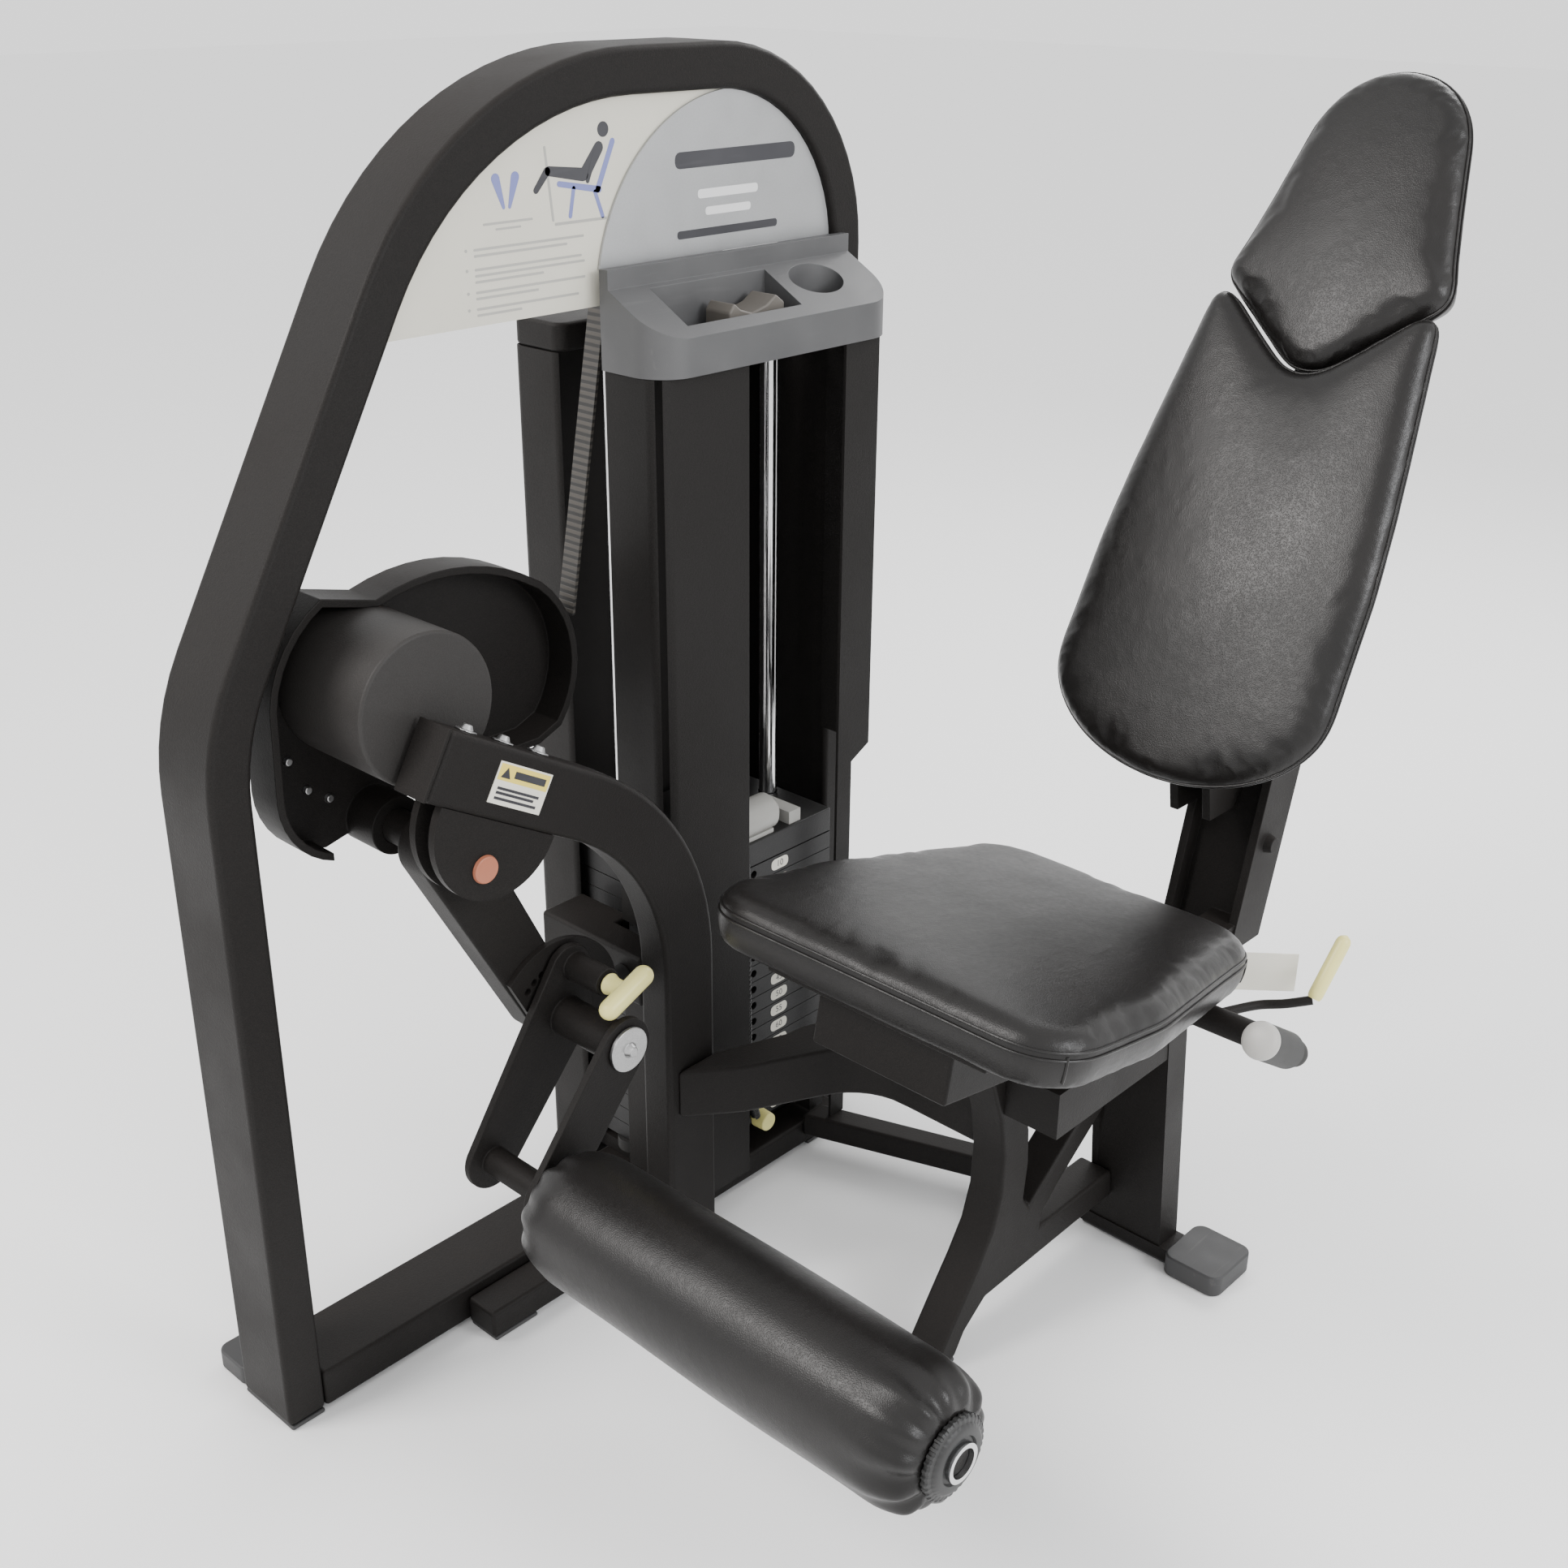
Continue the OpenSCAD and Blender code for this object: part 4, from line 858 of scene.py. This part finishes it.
# %% Coiled cord
route = smooth_path([at(*p) for p in ((58, 704, 510), (63, 700, 436), (65, 699, 296), (66, 703, 176), (68, 714, 120))], 900)
turns = 84
_, u, v = path_frames(route)
angle = np.linspace(0, 2 * np.pi * turns, len(route))[:, None]
coil = route + 0.0055 * (np.cos(angle) * u + np.sin(angle) * v)
curve = bpy.data.curves.new("coiled_cord", "CURVE")
curve.dimensions = "3D"
spline = curve.splines.new("POLY")
spline.points.add(len(coil) - 1)
spline.points.foreach_set("co", np.column_stack([coil, np.ones(len(coil))]).ravel())
curve.bevel_depth = 0.00125
curve.bevel_resolution = 2
curve.materials.append(FINISH["cord_black"])
cord = bpy.data.objects.new("coiled_cord", curve)
bpy.context.scene.collection.objects.link(cord)
piece(cord, "stack", "cord_black", "lanyard")
tuple(coil[0])

# %% [markdown]
# ## Printed plates and labels
# The plates carry plain bars in place of words and a simple figure on a seat. Each mark
# is a flat outline a fraction of a millimetre proud of its plate.

# %% Print helpers


def printed(name, shapes, x, body, material, depth=0.25):
    """Flat shapes drawn in Y and Z at a fixed X: each outline is one face, given a thin edge."""
    bm = bmesh.new()
    for shape in shapes:
        verts = [bm.verts.new(at(x, y, z)) for y, z in shape]
        bm.faces.new(verts)
    bmesh.ops.recalc_face_normals(bm, faces=bm.faces)
    top = bmesh.ops.extrude_face_region(bm, geom=bm.faces[:])
    moved = [g for g in top["geom"] if isinstance(g, bmesh.types.BMVert)]
    bmesh.ops.translate(bm, verts=moved, vec=(depth / 1000.0, 0, 0))
    bmesh.ops.recalc_face_normals(bm, faces=bm.faces)
    mesh = bpy.data.meshes.new(name)
    bm.to_mesh(mesh)
    bm.free()
    obj = add_object(name, mesh, FINISH[material])
    piece(obj, body, "label")
    return obj


def bar_shape(y, z, w, h):
    """A rounded bar with its lower left corner at y, z."""
    r = min(w, h) / 2 * 0.8
    return [tuple(p) for p in np.vstack([
        arc(y + w - r, z + r, r, -90, 0, 4), arc(y + w - r, z + h - r, r, 0, 90, 4),
        arc(y + r, z + h - r, r, 90, 180, 4), arc(y + r, z + r, r, 180, 270, 4)])]


def limb(a, b, w0, w1):
    """A tapered limb between two points, with round ends."""
    a, b = np.array(a, float), np.array(b, float)
    turn = math.degrees(math.atan2(b[1] - a[1], b[0] - a[0]))
    return [tuple(p) for p in np.vstack([arc(*a, w0, turn + 90, turn + 270, 7), arc(*b, w1, turn - 90, turn + 90, 7)])]


def disc(y, z, r):
    """A round dot."""
    return [tuple(p) for p in arc(y, z, r, 0, 345, 24)]


# %% Plate prints
lines = []
for z, widths in ((1309, (150, 126)), (1289, (146, 150, 92)), (1266, (150, 84)), (1249, (140, 60))):
    lines.append(disc(368, z + 1.4, 1.7))
    lines += [bar_shape(378, z - 6.2 * j, width, 2.6) for j, width in enumerate(widths)]
printed("guide_lines", lines, -12.99, "base", "print_grey")
printed("guide_figure", [disc(560, 1417, 8), limb((553, 1399), (533, 1374), 6.5, 7.5)], -12.99, "base", "print_dark")
printed("guide_legs", [limb((530, 1373), (482, 1380), 7, 5), limb((480, 1380), (464, 1362), 4.5, 3.5),
                       limb((548, 1394), (536, 1366), 3, 2.5)], -12.9, "base", "print_dark")
printed("guide_seat", [limb((573, 1404), (550, 1356), 3.5, 3.5), limb((552, 1356), (496, 1366), 3.5, 3),
                       limb((516, 1360), (510, 1332), 2.5, 2.5), limb((546, 1354), (556, 1328), 2.5, 2.5)],
        -12.95, "base", "print_blue", 0.2)
printed("guide_base", [bar_shape(488, 1324, 74, 3), limb((478, 1404), (486, 1330), 1.5, 1.5)], -12.95, "base", "print_grey", 0.2)
printed("guide_muscle", [limb((411, 1378), (420, 1349), 5.5, 2), limb((437, 1378), (428, 1349), 5.5, 2)], -12.99, "base", "print_blue")
printed("guide_caption", [bar_shape(392, 1333, 66, 2.4), bar_shape(408, 1327, 34, 2.2)], -12.99, "base", "print_grey")
printed("title_name", [bar_shape(662, 1368, 196, 18), bar_shape(664, 1292, 164, 9)], -8.99, "base", "print_dark")
printed("title_pale", [bar_shape(697, 1334, 98, 10), bar_shape(709, 1315, 74, 9)], -8.99, "base", "print_pale")
print("prints ready")

# %% Weight labels


def number_mesh(text, size, x, y, z):
    """A number as a mesh, standing in the plane X = x and read from +X."""
    curve = bpy.data.curves.new("number", "FONT")
    curve.body = text
    curve.size = size
    curve.align_x = "CENTER"
    curve.align_y = "CENTER"
    obj = bpy.data.objects.new("number", curve)
    bpy.context.scene.collection.objects.link(obj)
    graph = bpy.context.evaluated_depsgraph_get()
    mesh = bpy.data.meshes.new_from_object(obj.evaluated_get(graph))
    bpy.data.objects.remove(obj)
    place = Matrix(((0, 0, 1, x), (1, 0, 0, y), (0, 1, 0, z), (0, 0, 0, 1)))
    mesh.transform(place)
    return mesh


label_bm = bmesh.new()
patches = []
for k in range(16):
    z = 96 + 25 * k + 12
    place = at(50.35, 778, z)
    label_bm.from_mesh(number_mesh(str((16 - k) * 5 + 5), 0.013, *place))
    patches.append(bar_shape(762, z - 8, 32, 16))
printed("weight_patches", patches, 50.02, "stack", "label", 0.2)
number_all = bpy.data.meshes.new("weight_numbers")
label_bm.to_mesh(number_all)
label_bm.free()
piece(add_object("weight_numbers", number_all, FINISH["print_dark"]), "stack", "label")
print("numbers", len(number_all.polygons), "faces")

# %% Column label and lever sign


def on_column(u, v):
    """A point on the column's sloping end face: u along the tube from its free end, v across it."""
    slope = math.radians(29.8)
    y0 = 228 + 300 * math.sin(slope) - 228 * math.cos(slope)
    z0 = 467 + 300 * math.cos(slope) + 228 * math.sin(slope)
    return y0 + u * math.cos(slope) + v * math.sin(slope), z0 - u * math.sin(slope) + v * math.cos(slope)


def column_box(u0, v0, u1, v1):
    return [on_column(u0, v0), on_column(u1, v0), on_column(u1, v1), on_column(u0, v1)]


printed("column_head", [column_box(79, 4, 153, 22)], 137.85, "base", "print_yellow", 0.15)
printed("column_marks", [[on_column(83, 7), on_column(97, 7), on_column(90, 19)], column_box(102, 9, 148, 17),
                         column_box(84, -6, 146, -3), column_box(84, -11, 140, -8), column_box(84, -17, 146, -14)],
        138.02, "base", "print_dark", 0.1)
print("labels ready")

# %% [markdown]
# ## Light and floor
# A wide soft light high on the left, a weaker one on the right, and a bright room all
# round, with a pale floor that takes a faint shadow.

# %% Stage
floor_mesh = bpy.data.meshes.new("floor")
floor_mesh.from_pydata([(-25, -25, -0.0005), (25, -25, -0.0005), (25, 25, -0.0005), (-25, 25, -0.0005)], [], [(0, 1, 2, 3)])
floor_mat = bpy.data.materials.new("floor")
floor_mat.use_nodes = True
floor_mat.node_tree.nodes["Principled BSDF"].inputs["Base Color"].default_value = (0.95, 0.95, 0.95, 1)
floor_mat.node_tree.nodes["Principled BSDF"].inputs["Roughness"].default_value = 0.75
floor = add_object("floor", floor_mesh, floor_mat)
world = bpy.data.worlds.new("room")
bpy.context.scene.world = world
world.use_nodes = True
world.node_tree.nodes["Background"].inputs["Color"].default_value = (1.0, 1.0, 1.0, 1)
world.node_tree.nodes["Background"].inputs["Strength"].default_value = 1.5


def soft_light(name, place, aim, size, power, colour):
    """A square lamp at a place, turned to face a point."""
    data = bpy.data.lights.new(name, "AREA")
    data.size = size
    data.energy = power
    data.color = colour
    lamp = bpy.data.objects.new(name, data)
    bpy.context.scene.collection.objects.link(lamp)
    lamp.location = place
    lamp.rotation_euler = (Vector(aim) - Vector(place)).to_track_quat("-Z", "Y").to_euler()
    return lamp


soft_light("key", (-1.6, -3.2, 3.6), (0, 0, 0.7), 1.5, 150, (1.0, 0.97, 0.95))
soft_light("side", (3.4, 0.4, 2.4), (0, 0, 0.7), 1.4, 90, (0.97, 0.98, 1.0))
soft_light("back", (-0.5, 3.2, 2.8), (0, 0, 0.9), 1.6, 60, (1, 1, 1))
print("lights ready")
